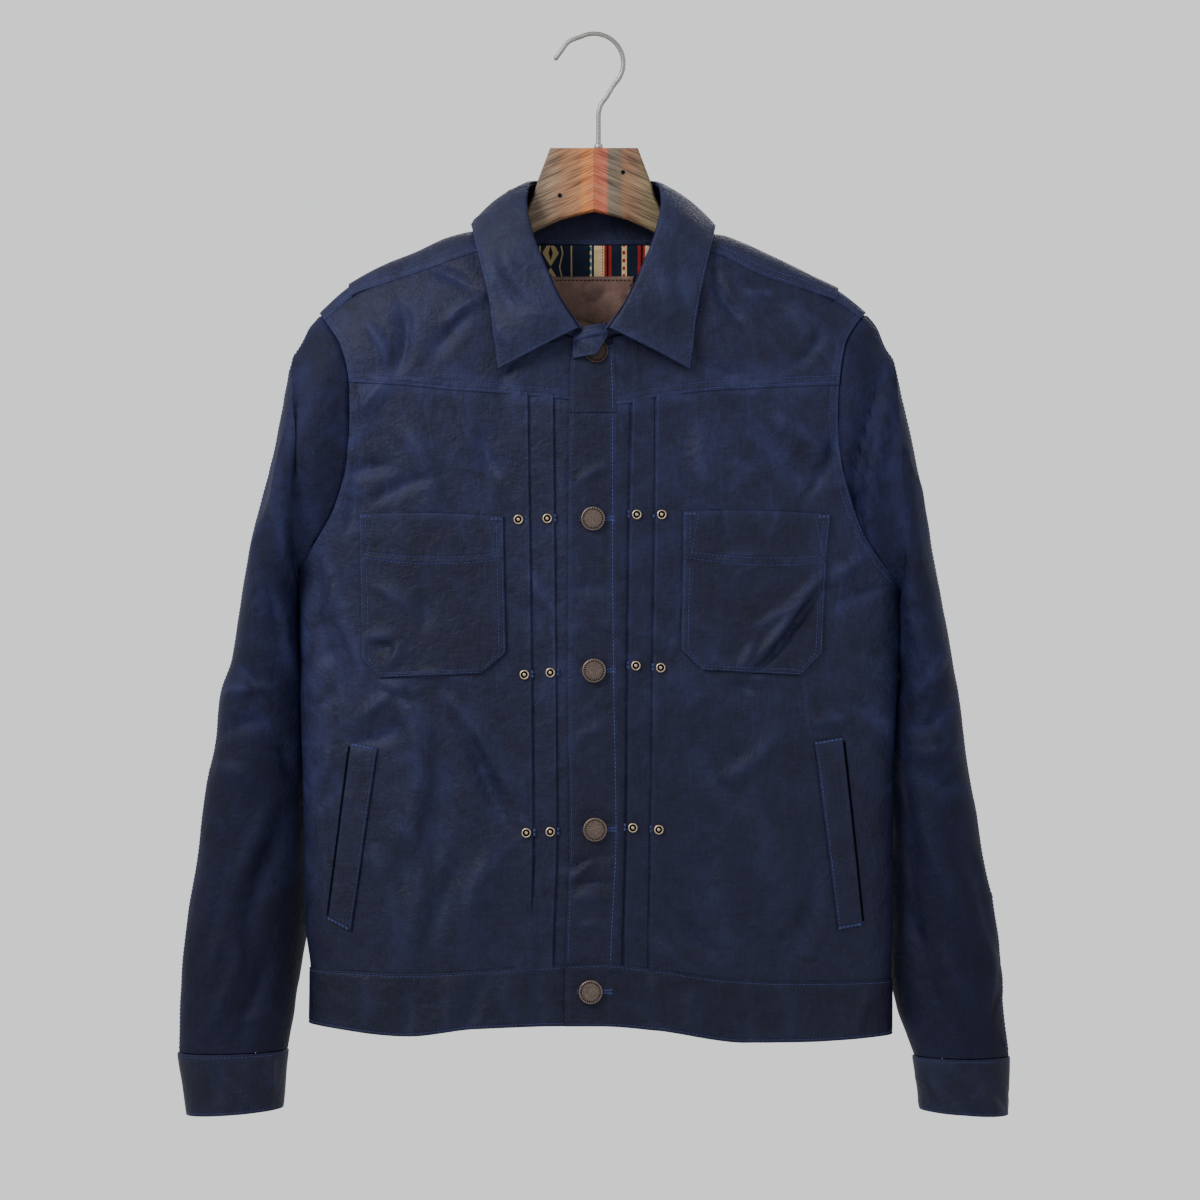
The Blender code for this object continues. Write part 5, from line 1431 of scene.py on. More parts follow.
class Gather:
    """Small turned or boxed shapes joined into one mesh."""

    def __init__(self):
        self.points, self.faces, self.shades, self.count = [], [], [], 0

    def add(self, points, faces, shades, spot=None):
        points = np.asarray(points, float)
        if spot is not None:
            origin, x_axis, y_axis, z_axis = spot
            points = origin + points @ np.stack([x_axis, y_axis, z_axis])
        self.points.append(points)
        self.faces += [[i + self.count for i in face] for face in faces]
        self.shades.append(np.broadcast_to(shades, len(points)))
        self.count += len(points)

    def finish(self, name, material, slot, nodes=()):
        points, shades = np.concatenate(self.points), np.concatenate(self.shades)
        add_piece(name, points, self.faces, material, nodes, shades, 35)


def lathe(profile, steps):
    """Points, faces and shades of a shape turned about Z; the profile lists radius, height, shade."""
    points, shades, faces = [], [], []
    for radius, height, shade in profile:
        turn = 2 * math.pi * np.arange(steps) / steps
        points.append(np.stack([radius * np.cos(turn), radius * np.sin(turn), height + 0 * turn], axis=1))
        shades += [shade] * steps
    for ring in range(len(profile) - 1):
        for i in range(steps):
            a, b = ring * steps + i, ring * steps + (i + 1) % steps
            faces.append([a, b, b + steps, a + steps])
    faces.append(list(range(steps))[::-1])
    last = (len(profile) - 1) * steps
    faces.append([last + i for i in range(steps)])
    return np.concatenate(points), faces, np.array(shades)


def seat(x, z, lift, turn=0.0):
    """Where a fitting stands on a front: its foot and its own three axes."""
    point, normal = torso(np.array([x]), np.array([z]), FRONT, lift)
    point, normal = point[0], normal[0]
    side = unit(np.cross([0.0, 0.0, 1.0], normal))
    up = np.cross(normal, side)
    x_axis = side * math.cos(turn) + up * math.sin(turn)
    return point, x_axis, np.cross(normal, x_axis), normal


def bar_tack(thread, x, z, lift, length, angle, strands):
    """A dense little block of stitches across a seam's end."""
    for k in range(strands):
        off = (k - (strands - 1) / 2) * 0.00042
        dx, dz = math.cos(angle), math.sin(angle)
        a = np.array([x - dz * off - dx * length / 2, x - dz * off + dx * length / 2])
        b = np.array([z + dx * off - dz * length / 2, z + dx * off + dz * length / 2])
        stitch_body(thread, np.linspace(*a, 6), np.linspace(*b, 6), FRONT, lift)


def add_buttonhole(thread, x, z, lift):
    """Dense stitches along both lips of a buttonhole, which meet at its end."""
    run = np.linspace(x - 0.0105, x + HOLE_END, 44)
    for lip in (-1, 1):
        line = z + lip * (0.00105 + 0.0004 * groove(run - x, HOLE_END, 0.003)) + 0 * run
        for point, normal in zip(*torso(run[:-1], line[:-1], FRONT, lift)):
            thread.bar(point, normal, UP, 0.0021)


def add_buttons():
    """Five tack buttons in their buttonholes, the top one half hidden by the flap at the neck and darkened as
    painted shadow under it.
    """
    r, h = BUTTON_RADIUS, BUTTON_HEIGHT
    button = lathe([
        (r * 0.42, 0.0, 0.0), (r * 0.42, h * 0.30, 0.0), (r * 0.90, h * 0.34, 0.0),
        (r * 0.985, h * 0.48, 0.3), (r, h * 0.64, 0.8), (r * 0.98, h * 0.80, 1.1),
        (r * 0.945, h * 0.88, 1.1), (r * 0.91, h * 0.90, 0.8), (r * 0.86, h * 0.905, 0.55),
        (r * 0.74, h * 0.915, 0.55), (r * 0.69, h * 0.93, 0.6), (r * 0.50, h * 0.955, 0.65),
        (r * 0.25, h * 0.975, 0.7), (r * 0.03, h * 0.98, 0.7),
    ], 56)
    tick = lathe([(0.00095, -0.0004, -1.0), (0.00095, 0.00008, -1.0), (0.00070, 0.00016, -1.0)], 8)
    buttons = Gather()
    holes = Thread(length=0.0019, pitch=0.0011, width=0.00045, height=0.00032)
    for x, z in zip(BUTTONS["x"], BUTTONS["z"]):
        at_neck, on_hem = z > -0.33, z < -0.74
        lift = YOKE_STEP + GAP if at_neck else BAND_OVER if on_hem else BAND_SEAT + LAID_ON
        spot = seat(x - 0.0012 * at_neck, z + 0.0022 * at_neck, lift + GAP, turn=37 * x / BUTTON_RADIUS)
        # the top button's shading is lowered by 0.9, which darkens its colour: painted shadow under the neck
        # flap
        buttons.add(button[0], button[1], button[2] - 0.9 * at_neck, spot)
        middle, right, up, out = spot
        for turn in np.linspace(0, 2 * math.pi, RIM_TICKS, endpoint=False):
            outward = right * math.cos(turn) + up * math.sin(turn)
            foot = middle + outward * r * 0.80 + out * h * 0.912
            buttons.add(*tick, (foot, outward, 0.45 * np.cross(out, outward), out))
        add_buttonhole(holes, x, z, lift - 0.0002)
    buttons.finish("tack_buttons", button_brass, "button_metal", [f"button_{i}" for i in range(5)])
    holes.finish("buttonholes", thread_bright)


def add_rivets():
    """A rivet at each bar of the pleats, with a bar tack beside it."""
    r, h = RIVET_RADIUS, RIVET_HEIGHT
    rivet = lathe([
        (r * 0.98, 0.0, 0.0), (r, h * 0.30, 0.3), (r * 0.95, h * 0.62, 0.9), (r * 0.87, h * 0.90, 1.2),
        (r * 0.78, h, 1.3), (r * 0.70, h * 0.92, 0.8), (r * 0.65, h * 0.62, -0.4), (r * 0.61, h * 0.18, -1.0),
        (r * 0.40, h * 0.16, -1.0), (r * 0.34, h * 0.52, 0.2), (r * 0.25, h * 0.72, 1.2),
        (r * 0.08, h * 0.80, 1.3),
    ], 32)
    rivets = Gather()
    for x, z in zip(RIVETS["x"], RIVETS["z"]):
        lift = float(pleat_lift(np.array([x]), np.array([z]))[0]) + 2 * GAP
        rivets.add(*rivet, seat(x, z, lift))
        bar_tack(front_thread, x + 0.0062 * np.sign(-x), z + 0.0004, lift - 0.0004, 0.0066, math.pi / 2, 4)
    rivets.finish("pleat_rivets", rivet_brass, "rivet_metal", [f"rivet_{i:02d}" for i in range(12)])


def add_inside_back():
    """The striped lining inside the neck, and the bare leather patch sewn on it."""

    def eased(x, z):
        return crumple(x, z, 17.0) * 0.6

    def sheet_on(name, box, first, thick, material, node, counts):
        left, right, bottom, top = box
        x, z = np.broadcast_arrays(np.linspace(left, right, counts[0])[None, :],
                                   np.linspace(bottom, top, counts[1])[:, None])
        outer, inner = layers(x, z, BACK, -first - thick, -first)
        outer = outer + np.stack([0 * x, -eased(x, z), 0 * x], axis=-1)
        edge = np.minimum(np.minimum(x - left, right - x), np.minimum(z - bottom, top - z))
        outer = mix(inner, outer, (0.4 + 0.6 * rounded(edge, 0.0008))[..., None])
        add_cloth(name, outer, inner, np.clip(1 - edge / 0.004, 0, 1), material, [node])

    lining_at = CLOTH + SEAM
    patch_at = lining_at + LINING + GAP
    sheet_on("neck_lining_cloth", LINING_BOX, lining_at, LINING, lining_stripes, "neck_lining",
             (60, 40))
    sheet_on("neck_patch", PATCH_BOX, patch_at, LEATHER, leather, "leather_patch", (50, 36))
    left, right, bottom, top = PATCH_BOX + PATCH_ROW * np.array([1, -1, 1, -1])
    corners = [(left, bottom), (right, bottom), (right, top), (left, top), (left, bottom)]
    for (x1, z1), (x2, z2) in zip(corners, corners[1:]):
        x, z = np.linspace(x1, x2, 40), np.linspace(z1, z2, 40)
        points, normals = torso(x, z, BACK, -patch_at - LEATHER - 0.0001)
        points[:, 1] -= eased(x, z)
        patch_thread.row(points, -normals)


# --- Hanger --------------------------------------------------------------------------------------


def add_hook():
    """The wire hook, a smooth curve from its tip round the bend to the wood."""
    centre = WIRE_RADIUS - HOOK_RADIUS
    route = [(-0.0315, -0.0195), (-0.0262, -0.0120), (-0.0200, -0.0045)]
    for degrees in range(115, -46, -8):
        turn = math.radians(degrees)
        route.append((HOOK_RADIUS * math.cos(turn), centre + HOOK_RADIUS * math.sin(turn)))
    route += [(0.0098, -0.0492), (0.0052, -0.0560), (STEM_X, -0.0630), (STEM_X, WOOD_TOP + GAP)]
    knots = np.array(route)
    run = np.concatenate([[0], np.cumsum(np.linalg.norm(np.diff(knots, axis=0), axis=1))])
    at = np.linspace(0, run[-1], 150)
    x, z = smooth(at, run, knots[:, 0]), smooth(at, run, knots[:, 1])
    along = unit(np.stack([np.gradient(x), 0 * x, np.gradient(z)], axis=1))
    aside = np.stack([-along[:, 2], 0 * x, along[:, 0]], axis=1)
    steps = 20
    turn = 2 * math.pi * np.arange(steps) / steps
    tip = np.sqrt(np.clip((at + 0.0001) / 0.0018, 0, 1))
    around = aside[:, None] * np.cos(turn)[None, :, None] + BEHIND * np.sin(turn)[None, :, None]
    ring = np.stack([x, 0 * x, z], axis=1)[:, None] + WIRE_RADIUS * tip[:, None, None] * around
    index = np.arange(len(at) * steps).reshape(len(at), steps)
    after = np.roll(index, -1, axis=1)
    quads = np.stack([index[:-1], after[:-1], after[1:], index[1:]], axis=-1).reshape(-1, 4)[:, ::-1]
    wire = Gather()
    faces = quads.tolist() + [index[0].tolist(), index[-1][::-1].tolist()]
    wire.add(ring.reshape(-1, 3), faces, 0.5)
    collar = lathe([(0.0031, -0.0006, 0.3), (0.0034, 0.0, 0.5), (0.0034, 0.0022, 0.9), (0.0026, 0.0036, 1.0),
                    (0.0019, 0.0040, 0.6)], 24)
    wire.add(*collar, (np.array([STEM_X, 0, WOOD_TOP + 0.0002]), RIGHT, BEHIND, UP))
    wire.finish("hook", hook_steel, "hook_wire", ["hanger_hook"])


def add_nail_holes():
    """The two filled nail holes in the front of the hanger's wood."""
    nails = Gather()
    nail = lathe([(0.0021, 0.0, -0.3), (0.0020, 0.00014, -0.5), (0.0013, 0.00010, -0.9),
                  (0.0009, 0.00004, -1.0)], 14)
    for x, z in ((-0.0272, -0.1283), (0.0232, -0.1097)):
        nails.add(*nail, (np.array([x, -WOOD_THICKNESS / 2 - 0.00002, z]), RIGHT, UP, -BEHIND))
    nails.finish("nail_holes", hook_steel, "hook_wire")


# --- Materials -----------------------------------------------------------------------------------


class Finish:
    """A Principled material whose colour, roughness and bump come from nodes."""

    def __init__(self, name, metallic=0.0, specular=0.5):
        self.material = bpy.data.materials.new(name)
        self.material.use_nodes = True
        self.tree = self.material.node_tree
        self.shader = self.tree.nodes["Principled BSDF"]
        self.shader.inputs["Metallic"].default_value = metallic
        self.shader.inputs["Specular IOR Level"].default_value = specular
        self.place = self.tree.nodes.new("ShaderNodeTexCoord").outputs["Object"]

    def node(self, kind, **inputs):
        """A new node with these inputs, each a value or another node's output."""
        node = self.tree.nodes.new("ShaderNode" + kind)
        for name, value in inputs.items():
            self.feed(node.inputs[name.replace("_", " ")], value)
        return node

    def feed(self, socket, value):
        if isinstance(value, bpy.types.NodeSocket):
            self.tree.links.new(value, socket)
        else:
            socket.default_value = value

    def maths(self, operation, a, b=0.0, c=0.0, clamp=False):
        node = self.tree.nodes.new("ShaderNodeMath")
        node.operation, node.use_clamp = operation, clamp
        for socket, value in zip(node.inputs, (a, b, c)):
            self.feed(socket, value)
        return node.outputs[0]

    def scaled(self, value, times, plus, clamp=False):
        return self.maths("MULTIPLY_ADD", value, times, plus, clamp)

    def stretched(self, x, y, z, turn=0.0):
        """The object's own coordinates, scaled along each axis after a turn about Y."""
        return self.node("Mapping", Vector=self.place, Rotation=(0, turn, 0), Scale=(x, y, z)).outputs[0]

    def noise(self, scale, detail=4.0, rough=0.55, vector=None, twist=0.0):
        node = self.node("TexNoise", Vector=vector or self.place, Scale=scale, Detail=detail, Roughness=rough,
                         Distortion=twist)
        return node.outputs["Fac"]

    def ramp(self, value, *stops, smooth_between=True):
        """Each stop is a position and a colour or a grey."""
        node = self.node("ValToRGB", Fac=value)
        ramp = node.color_ramp
        ramp.interpolation = "LINEAR" if smooth_between else "CONSTANT"
        while len(ramp.elements) < len(stops):
            ramp.elements.new(1.0)
        for element, (position, colour) in zip(ramp.elements, stops):
            element.position = position
            element.color = (*colour, 1) if isinstance(colour, tuple) else (colour, colour, colour, 1)
        return node.outputs["Color"]

    def blend(self, share, a, b, mode="MIX"):
        node = self.tree.nodes.new("ShaderNodeMix")
        node.data_type, node.blend_type = "RGBA", mode
        self.feed(node.inputs[0], share)
        for socket, value in ((node.inputs[6], a), (node.inputs[7], b)):
            self.feed(socket, (*value, 1) if isinstance(value, tuple) else value)
        return node.outputs[2]

    def wear_and_shade(self):
        node = self.tree.nodes.new("ShaderNodeAttribute")
        node.attribute_name = "wear_and_shade"
        return node.outputs["Fac"]

    def bump(self, *layers):
        """Bumps one over the other, each a height value and its distance in metres."""
        normal = None
        for height, distance in layers:
            node = self.node("Bump", Height=height, Distance=distance, Strength=1.0)
            if normal:
                self.feed(node.inputs["Normal"], normal)
            normal = node.outputs["Normal"]
        self.feed(self.shader.inputs["Normal"], normal)

    def done(self, colour, roughness):
        self.feed(self.shader.inputs["Base Color"], colour)
        self.feed(self.shader.inputs["Roughness"], roughness)
        return self.material


def waxed_finish(name, dark, plain, rubbed, lower=0.55, shine=(0.46, 0.66)):
    """Waxed cotton: mottled and streaked, darker towards the bottom, rubbed bluer at seams and creases."""
    f = Finish(name, specular=0.13)
    broad = f.noise(11.0, 3.0, 0.5)
    blotch = f.noise(46.0, 6.0, 0.62, twist=0.6)
    streak = f.noise(30.0, 6.0, 0.65, f.stretched(2.4, 1.0, 0.5, 0.5), 1.2)
    scratch = f.noise(210.0, 3.0, 0.6, f.stretched(1.0, 1.0, 0.16, -0.25), 0.8)
    fine = f.noise(900.0, 2.0, 0.6)
    height = f.node("SeparateXYZ", Vector=f.place).outputs["Z"]
    # darker towards the bottom, broken up by broad patches
    low = f.scaled(height, -4.2, -1.75)
    low = f.maths("ADD", low, f.scaled(broad, 1.6, -0.8), clamp=True)
    base = f.blend(f.scaled(blotch, 2.2, -0.6, clamp=True), dark, plain)
    base = f.blend(f.maths("MULTIPLY", low, lower), base, dark)
    slubs = f.maths("ADD", *(f.noise(900.0, 2.0, 0.5, f.stretched(*scale))
                             for scale in ((1.0, 1.0, 0.10), (0.10, 1.0, 1.0))))
    base = f.blend(1.0, base, f.scaled(slubs, 0.9, 0.08), "MULTIPLY")
    chalk = f.scaled(streak, 3.6, -1.95, clamp=True)
    scuffs = f.scaled(scratch, 5.0, -2.9, clamp=True)
    rub = f.maths("MULTIPLY", f.wear_and_shade(), f.scaled(fine, 0.9, 0.3))
    rub = f.maths("MULTIPLY", rub, f.scaled(blotch, 2.6, -0.60, clamp=True))
    share = f.maths("ADD", f.maths("MULTIPLY", rub, 0.80), f.maths("MULTIPLY", chalk, 0.30))
    share = f.maths("ADD", share, f.maths("MULTIPLY", scuffs, 0.20), clamp=True)
    share = f.maths("MULTIPLY", share, f.scaled(low, -0.60, 1.0))
    colour = f.blend(share, base, rubbed)
    rough = f.scaled(blotch, shine[1] - shine[0], shine[0])
    rough = f.maths("ADD", rough, f.maths("MULTIPLY", share, 0.10))
    weave = f.noise(1500.0, 1.0, 0.5, f.stretched(1.0, 1.0, 0.55))
    wrinkled, pebbled = f.noise(95.0, 5.0, 0.6, twist=0.5), f.noise(320.0, 3.0, 0.55)
    f.bump((wrinkled, 0.0016), (pebbled, 0.0004), (weave, 0.00012))
    return f.done(colour, rough)


def thread_finish(name, plain, pale, specular=0.3):
    """Twisted thread, which pales in places."""
    f = Finish(name, specular=specular)
    twist = f.noise(1200.0, 2.0, 0.6, f.stretched(1.0, 1.0, 0.4, 0.7))
    colour = f.blend(f.scaled(f.noise(160.0, 3.0), 2.4, -0.7, clamp=True), plain, pale)
    f.bump((twist, 0.0001))
    return f.done(colour, f.scaled(twist, 0.2, 0.55))


def metal_finish(name, dark, plain, bright, roughness):
    """Antique plated metal: dark in its recesses and rubbed bright on its rims."""
    f = Finish(name, metallic=1.0)
    wear_and_shade, spots = f.wear_and_shade(), f.noise(700.0, 5.0, 0.65)
    colour = f.blend(f.scaled(spots, 1.6, -0.35, clamp=True), dark, plain)
    colour = f.blend(f.scaled(wear_and_shade, 0.75, f.scaled(spots, 0.9, -0.6), clamp=True),
                     colour, bright)
    # below zero the colour turns near black: dark in the rivets' hollows, and painted shadow on the top
    # button
    colour = f.blend(f.maths("MULTIPLY", wear_and_shade, -1.0, clamp=True), colour, (0.004, 0.003, 0.003))
    f.bump((spots, 0.00012), (f.noise(2600.0, 2.0), 0.00004))
    return f.done(colour, f.scaled(spots, 0.25, roughness))


def leather_finish():
    """Bare brown leather, darker at its edge."""
    f = Finish("bare_leather", specular=0.4)
    pores = f.node("TexVoronoi", Vector=f.place, Scale=620.0).outputs["Distance"]
    cloud = f.noise(70.0, 5.0, 0.6)
    colour = f.blend(f.scaled(cloud, 2.2, -0.6, clamp=True), (0.095, 0.050, 0.040),
                     (0.210, 0.118, 0.094))
    colour = f.blend(f.maths("MULTIPLY", f.wear_and_shade(), 0.6), colour, (0.030, 0.016, 0.013))
    f.bump((cloud, 0.0004), (pores, 0.00018))
    return f.done(colour, f.scaled(cloud, 0.25, 0.42))


LEFT_STRIPES = (  # left edge in metres from the jacket's middle, and colour
    (-0.0750, "ground"), (-0.0655, "cream"), (-0.0648, "ground"), (-0.0560, "red"), (-0.0552, "ground"),
    (-0.0440, "khaki"), (-0.0430, "ground"), (-0.0190, "khaki"), (-0.0181, "ground"), (-0.0034, "teal"),
    (-0.0018, "ground"),
)
RIGHT_STRIPES = (
    (-0.0750, "ground"), (0.0000, "cream"), (0.0078, "red"), (0.0098, "black"), (0.0112, "red"),
    (0.0136, "ground"), (0.0217, "cream"), (0.0226, "red"), (0.0250, "cream"), (0.0261, "ground"),
    (0.0351, "red"), (0.0375, "black"), (0.0388, "red"), (0.0410, "cream"), (0.0488, "ground"),
    (0.0660, "khaki"), (0.0670, "ground"),
)
STRIPE_COLOURS = {
    "ground": (0.006, 0.011, 0.026), "cream": (0.62, 0.47, 0.26), "red": (0.30, 0.016, 0.016),
    "khaki": (0.30, 0.23, 0.11), "teal": (0.10, 0.24, 0.24), "black": (0.004, 0.004, 0.004),
}
DIAMOND_PITCH = 0.0217
DIAMOND_AT = -0.0032  # moves the diamonds up or down the cloth


def lining_finish():
    """Woven lining: upright stripes in plain colours, a row of small diamonds, a zigzag and dots."""
    f = Finish("striped_lining", specular=0.2)
    split = f.node("SeparateXYZ", Vector=f.place)
    x, z = split.outputs["X"], split.outputs["Z"]

    def stripes(rows):
        share = f.scaled(x, 1 / 0.15, 0.5)  # across the lining, which is 0.15 m wide
        stops = [((at + 0.075) / 0.15, STRIPE_COLOURS[colour]) for at, colour in rows]
        return f.ramp(share, *stops, smooth_between=False)

    colour = f.blend(f.maths("GREATER_THAN", x, 0.0), stripes(LEFT_STRIPES), stripes(RIGHT_STRIPES))

    def repeat(size, start=0.0):
        """From 0 in the middle of each repeat up the cloth to 1 at its ends."""
        wave = f.maths("PINGPONG", f.maths("ADD", z, 1.0 + start), size / 2)
        return f.maths("MULTIPLY", wave, 2 / size)

    def within(centre, reach):
        off = f.maths("ABSOLUTE", f.maths("SUBTRACT", x, centre))
        return f.maths("LESS_THAN", off, reach)

    def paint(mask, name):
        nonlocal colour
        colour = f.blend(mask, colour, STRIPE_COLOURS[name])

    diamonds = repeat(DIAMOND_PITCH, DIAMOND_AT)
    for centre in (-0.0349, 0.0572):
        off = f.maths("MULTIPLY", f.maths("ABSOLUTE", f.maths("SUBTRACT", x, centre)), 1 / 0.0070)
        paint(f.maths("LESS_THAN", f.maths("ADD", off, diamonds), 0.96), "khaki")
        slit = f.maths("ADD", f.maths("MULTIPLY", off, 3.6), f.maths("MULTIPLY", diamonds, 1.5))
        paint(f.maths("LESS_THAN", slit, 0.85), "black")
    for centre in (-0.0265, -0.0500):
        zigzag = f.scaled(diamonds, -0.0026, centre + 0.0013)
        paint(f.maths("LESS_THAN", f.maths("ABSOLUTE", f.maths("SUBTRACT", x, zigzag)), 0.00055), "khaki")
    dots = f.maths("LESS_THAN", repeat(0.0060), 0.45)
    paint(f.maths("MULTIPLY", within(0.0449, 0.0012), dots), "red")
    paint(f.maths("MULTIPLY", within(0.0238, 0.0012), f.maths("SUBTRACT", 1.0, dots)), "cream")
    paint(f.maths("MULTIPLY", within(-0.0026, 0.0008), dots), "cream")
    paint(f.maths("MULTIPLY", within(0.0068, 0.0004), f.maths("LESS_THAN", repeat(0.0024), 0.5)), "red")
    fold = f.noise(24.0, 3.0)
    thread_up = f.noise(1700.0, 1.0, 0.5, f.stretched(1.0, 1.0, 0.3))
    colour = f.blend(f.scaled(thread_up, 0.9, -0.1, clamp=True), colour,
                     f.blend(1.0, colour, (0.62, 0.62, 0.62), "MULTIPLY"))
    f.bump((fold, 0.0012), (thread_up, 0.00016))
    return f.done(colour, f.scaled(fold, 0.15, 0.78))


WOOD_STRIPES = (  # share across the hanger from its left tip, and colour
    (0.000, (0.115, 0.070, 0.045)), (0.300, (0.140, 0.082, 0.050)), (0.385, (0.100, 0.074, 0.052)),
    (0.412, (0.190, 0.122, 0.078)), (0.440, (0.240, 0.114, 0.052)), (0.468, (0.270, 0.116, 0.046)),
    (0.480, (0.440, 0.150, 0.040)), (0.497, (0.450, 0.140, 0.042)), (0.504, (0.330, 0.080, 0.040)),
    (0.524, (0.340, 0.086, 0.048)), (0.531, (0.105, 0.086, 0.062)), (0.553, (0.112, 0.082, 0.054)),
    (0.562, (0.185, 0.090, 0.046)), (0.590, (0.150, 0.088, 0.050)), (0.604, (0.130, 0.098, 0.050)),
    (0.640, (0.120, 0.090, 0.052)), (1.000, (0.130, 0.080, 0.050)),
)


def wood_finish():
    """Reclaimed wood from narrow strips, sawn so that its marks meet in a chevron at the middle."""
    f = Finish("reclaimed_wood", specular=0.3)
    split = f.node("SeparateXYZ", Vector=f.place)
    x, z = split.outputs["X"], split.outputs["Z"]
    middle = 0.0002
    away = f.maths("ABSOLUTE", f.maths("SUBTRACT", x, middle))
    slant = f.maths("ADD", f.maths("MULTIPLY", away, 0.42), f.maths("MULTIPLY", z, 0.90))
    slanted = f.node("CombineXYZ", X=slant, Y=f.maths("MULTIPLY", away, 0.05), Z=0.0).outputs[0]
    saw = f.noise(900.0, 2.0, 0.55, slanted)
    broad = f.noise(150.0, 4.0, 0.6, slanted, 0.4)
    share = f.scaled(x, 1 / 0.39, 0.5)
    share = f.maths("ADD", share, f.scaled(broad, 0.006, -0.003))
    colour = f.ramp(share, *WOOD_STRIPES)
    colour = f.blend(f.scaled(saw, 4.4, -1.85, clamp=True), colour,
                     f.blend(1.0, colour, (0.34, 0.31, 0.31), "MULTIPLY"))
    colour = f.blend(f.scaled(broad, 3.0, -1.6, clamp=True), colour, (0.30, 0.20, 0.115))
    joint = f.maths("MULTIPLY", f.maths("LESS_THAN", away, 0.00035), 0.35)
    colour = f.blend(joint, colour, (0.030, 0.016, 0.010))
    f.bump((broad, 0.0006), (saw, 0.0005))
    return f.done(colour, f.scaled(saw, 0.2, 0.52))


wax = {side: waxed_finish("waxed_cotton_" + side, (0.0038, 0.0044, 0.0135), (0.0090, 0.0102, 0.0330),
                          (0.0200, 0.0250, 0.0780)) for side in SIDES}
collar_wax = waxed_finish("waxed_cotton_collar", (0.0060, 0.0068, 0.0190), (0.0105, 0.0122, 0.0350),
                          (0.0200, 0.0250, 0.0720), 0.0)
pocket_wax = waxed_finish("waxed_cotton_pockets", (0.0038, 0.0042, 0.0120), (0.0068, 0.0078, 0.0240),
                          (0.0170, 0.0210, 0.0640), 0.3)
band_wax = waxed_finish("waxed_cotton_bands", (0.0030, 0.0034, 0.0095), (0.0055, 0.0064, 0.0200),
                        (0.0150, 0.0190, 0.0580), 0.3)
sleeve_wax = waxed_finish("waxed_cotton_sleeves", (0.0010, 0.0014, 0.0085), (0.0048, 0.0058, 0.0260),
                          (0.0140, 0.0175, 0.0600), 0.8, (0.58, 0.76))
thread_navy = thread_finish("navy_thread", (0.012, 0.016, 0.058), (0.026, 0.035, 0.120))
thread_bright = thread_finish("blue_thread", (0.020, 0.030, 0.115), (0.044, 0.062, 0.225))
thread_brown = thread_finish("brown_thread", (0.005, 0.003, 0.003), (0.014, 0.009, 0.007))
# near black with almost no shine: painted shadow for the pockets' openings
mouth_shadow_finish = thread_finish("pocket_mouth_painted_shadow", (0.0008, 0.0009, 0.0025), (0.0020, 0.0022, 0.0060),
                             0.02)
button_brass = metal_finish("aged_copper", (0.030, 0.021, 0.018), (0.066, 0.048, 0.041),
                            (0.190, 0.148, 0.130), 0.36)
rivet_brass = metal_finish("aged_brass", (0.045, 0.034, 0.024), (0.120, 0.092, 0.064),
                           (0.420, 0.335, 0.245), 0.28)
hook_steel = metal_finish("dull_steel", (0.090, 0.088, 0.084), (0.240, 0.235, 0.225),
                          (0.420, 0.410, 0.390), 0.34)
leather = leather_finish()
lining_stripes = lining_finish()


# --- The jacket ----------------------------------------------------------------------------------

front_thread = Thread()
bright_thread = Thread(width=0.00058, height=0.00036)
# flat near-black bars along each welt's open edge: painted shadow in the pocket's opening
mouth_shadow_strip = Thread(length=0.0042, pitch=0.0040, width=0.0024, height=0.0004)
patch_thread = Thread(length=0.0020, pitch=0.0032, width=0.0010, height=0.0004)

for side in SIDES:
    add_front_panel(side)
    add_front_yoke(side)
    add_sleeve(side)
    add_cuff(side)
add_placket()
add_back_panel()
add_hem_band()
add_collar_leaf()
add_collar_stand()
add_neck_tabs()
add_pocket("left", POCKET_LEFT, POCKET_TOP_LEFT)
add_pocket("right", POCKET_RIGHT, POCKET_TOP_RIGHT)
add_welt("left", WELT_LEFT)
add_welt("right", WELT_RIGHT)
add_buttons()
add_rivets()
add_inside_back()
add_hook()
add_nail_holes()
front_thread.finish("topstitching", thread_navy)
bright_thread.finish("placket_stitching", thread_bright)
patch_thread.finish("patch_stitching", thread_brown, "brown_leather")
# the strips of painted shadow beside the welts
mouth_shadow_strip.finish("pocket_mouth_shadows", mouth_shadow_finish)
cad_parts["hanger_wood"].data.materials.clear()
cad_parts["hanger_wood"].data.materials.append(wood_finish())


# --- Floor, light and camera ---------------------------------------------------------------------

FLOOR_Z = -1.75
CAMERA_AT = (0.0048, -3.0, -0.4512)  # straight in front of the jacket's middle


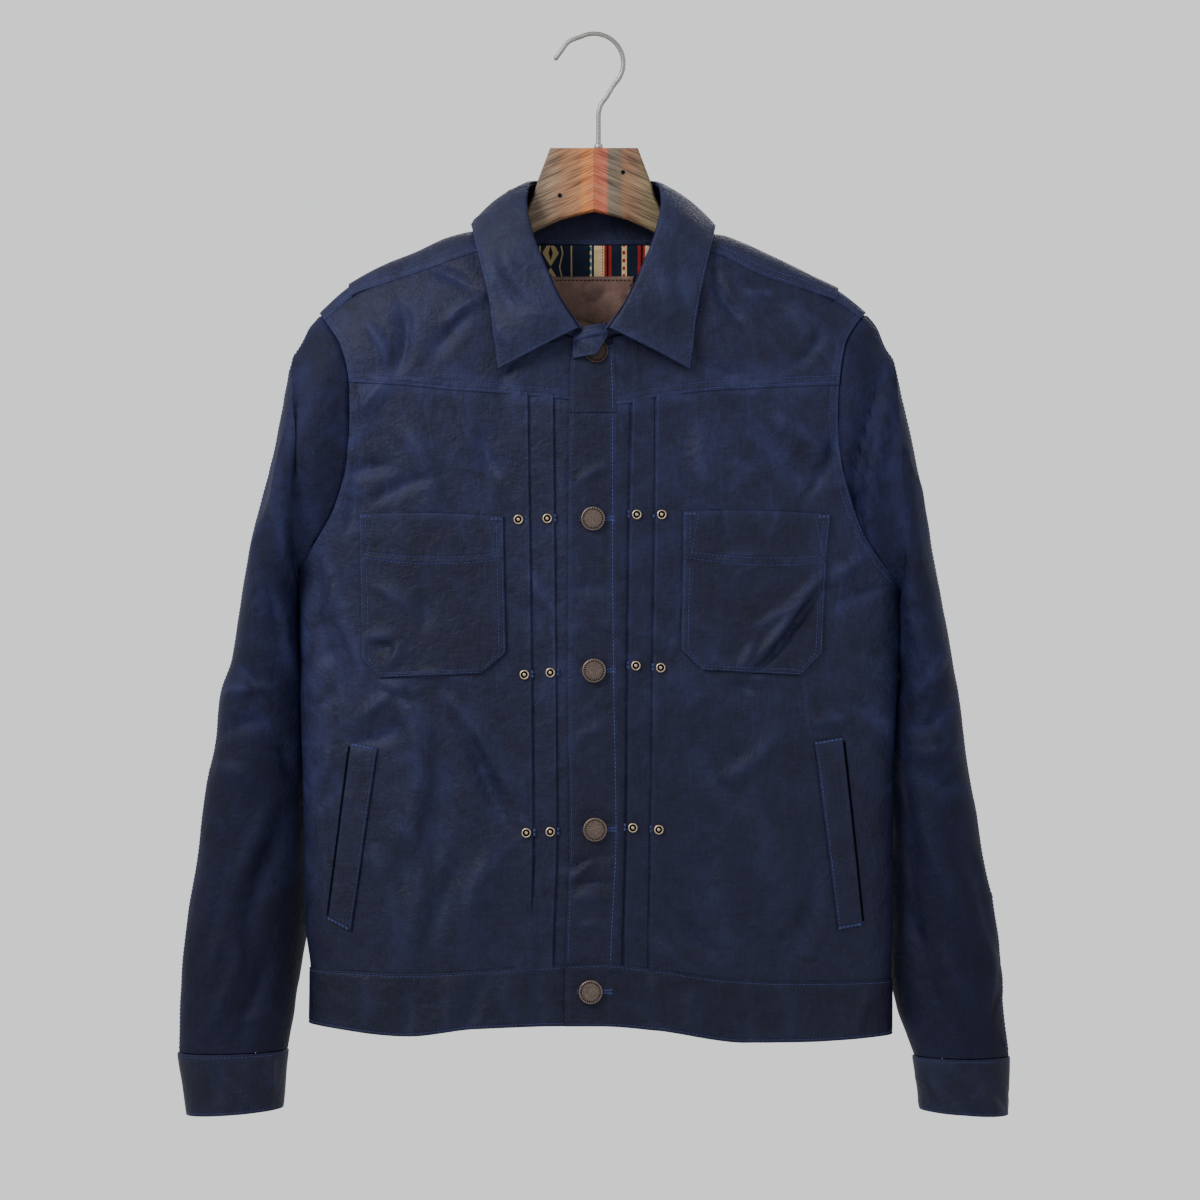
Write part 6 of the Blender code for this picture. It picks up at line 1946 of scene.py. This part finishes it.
def add_floor():
    """A plain pale floor, far below the jacket."""
    mesh = bmesh.new()
    bmesh.ops.create_grid(mesh, x_segments=12, y_segments=12, size=2.8)
    for vertex in mesh.verts:
        vertex.co.z = FLOOR_Z
    data = bpy.data.meshes.new("floor")
    mesh.to_mesh(data)
    mesh.free()
    floor = bpy.data.objects.new("floor", data)
    f = Finish("pale_floor", specular=0.2)
    speck = f.noise(6.0, 3.0)
    data.materials.append(f.done(f.blend(speck, (0.72, 0.72, 0.71), (0.80, 0.80, 0.79)),
                                 f.scaled(speck, 0.1, 0.8)))
    bpy.context.scene.collection.objects.link(floor)


def add_light(name, place, target, size, power, colour=(1, 1, 1)):
    """A soft light of this size, turned to its target."""
    data = bpy.data.lights.new(name, "AREA")
    data.shape, data.size, data.size_y = "RECTANGLE", size[0], size[1]
    data.energy, data.color = power, colour
    light = bpy.data.objects.new(name, data)
    light.location = place
    light.rotation_euler = (Vector(target) - Vector(place)).to_track_quat("-Z", "Y").to_euler()
    bpy.context.scene.collection.objects.link(light)


def add_world():
    """Soft pale light from all round."""
    world = bpy.data.worlds.new("studio")
    world.use_nodes = True
    background = world.node_tree.nodes["Background"]
    background.inputs["Color"].default_value = (0.93, 0.94, 0.95, 1)
    background.inputs["Strength"].default_value = 1.15
    bpy.context.scene.world = world


def add_camera():
    """The camera at the photo's angle."""
    data = bpy.data.cameras.new("camera")
    data.sensor_width, data.lens = 36.0, 112.5
    camera = bpy.data.objects.new("camera", data)
    camera.location = CAMERA_AT
    camera.rotation_euler = (math.pi / 2, 0, 0)
    bpy.context.scene.collection.objects.link(camera)
    bpy.context.scene.camera = camera


add_floor()
add_world()
add_light("key", (-1.7, -1.6, 1.2), (0, 0, -0.42), (1.0, 1.0), 95, (1.0, 0.99, 0.97))
add_light("fill", (1.9, -1.8, 0.1), (0, 0, -0.45), (1.6, 1.6), 16, (0.95, 0.97, 1.0))
add_light("back_light", (0.3, 2.2, 0.9), (0, 0, -0.4), (1.5, 1.5), 30)
add_camera()
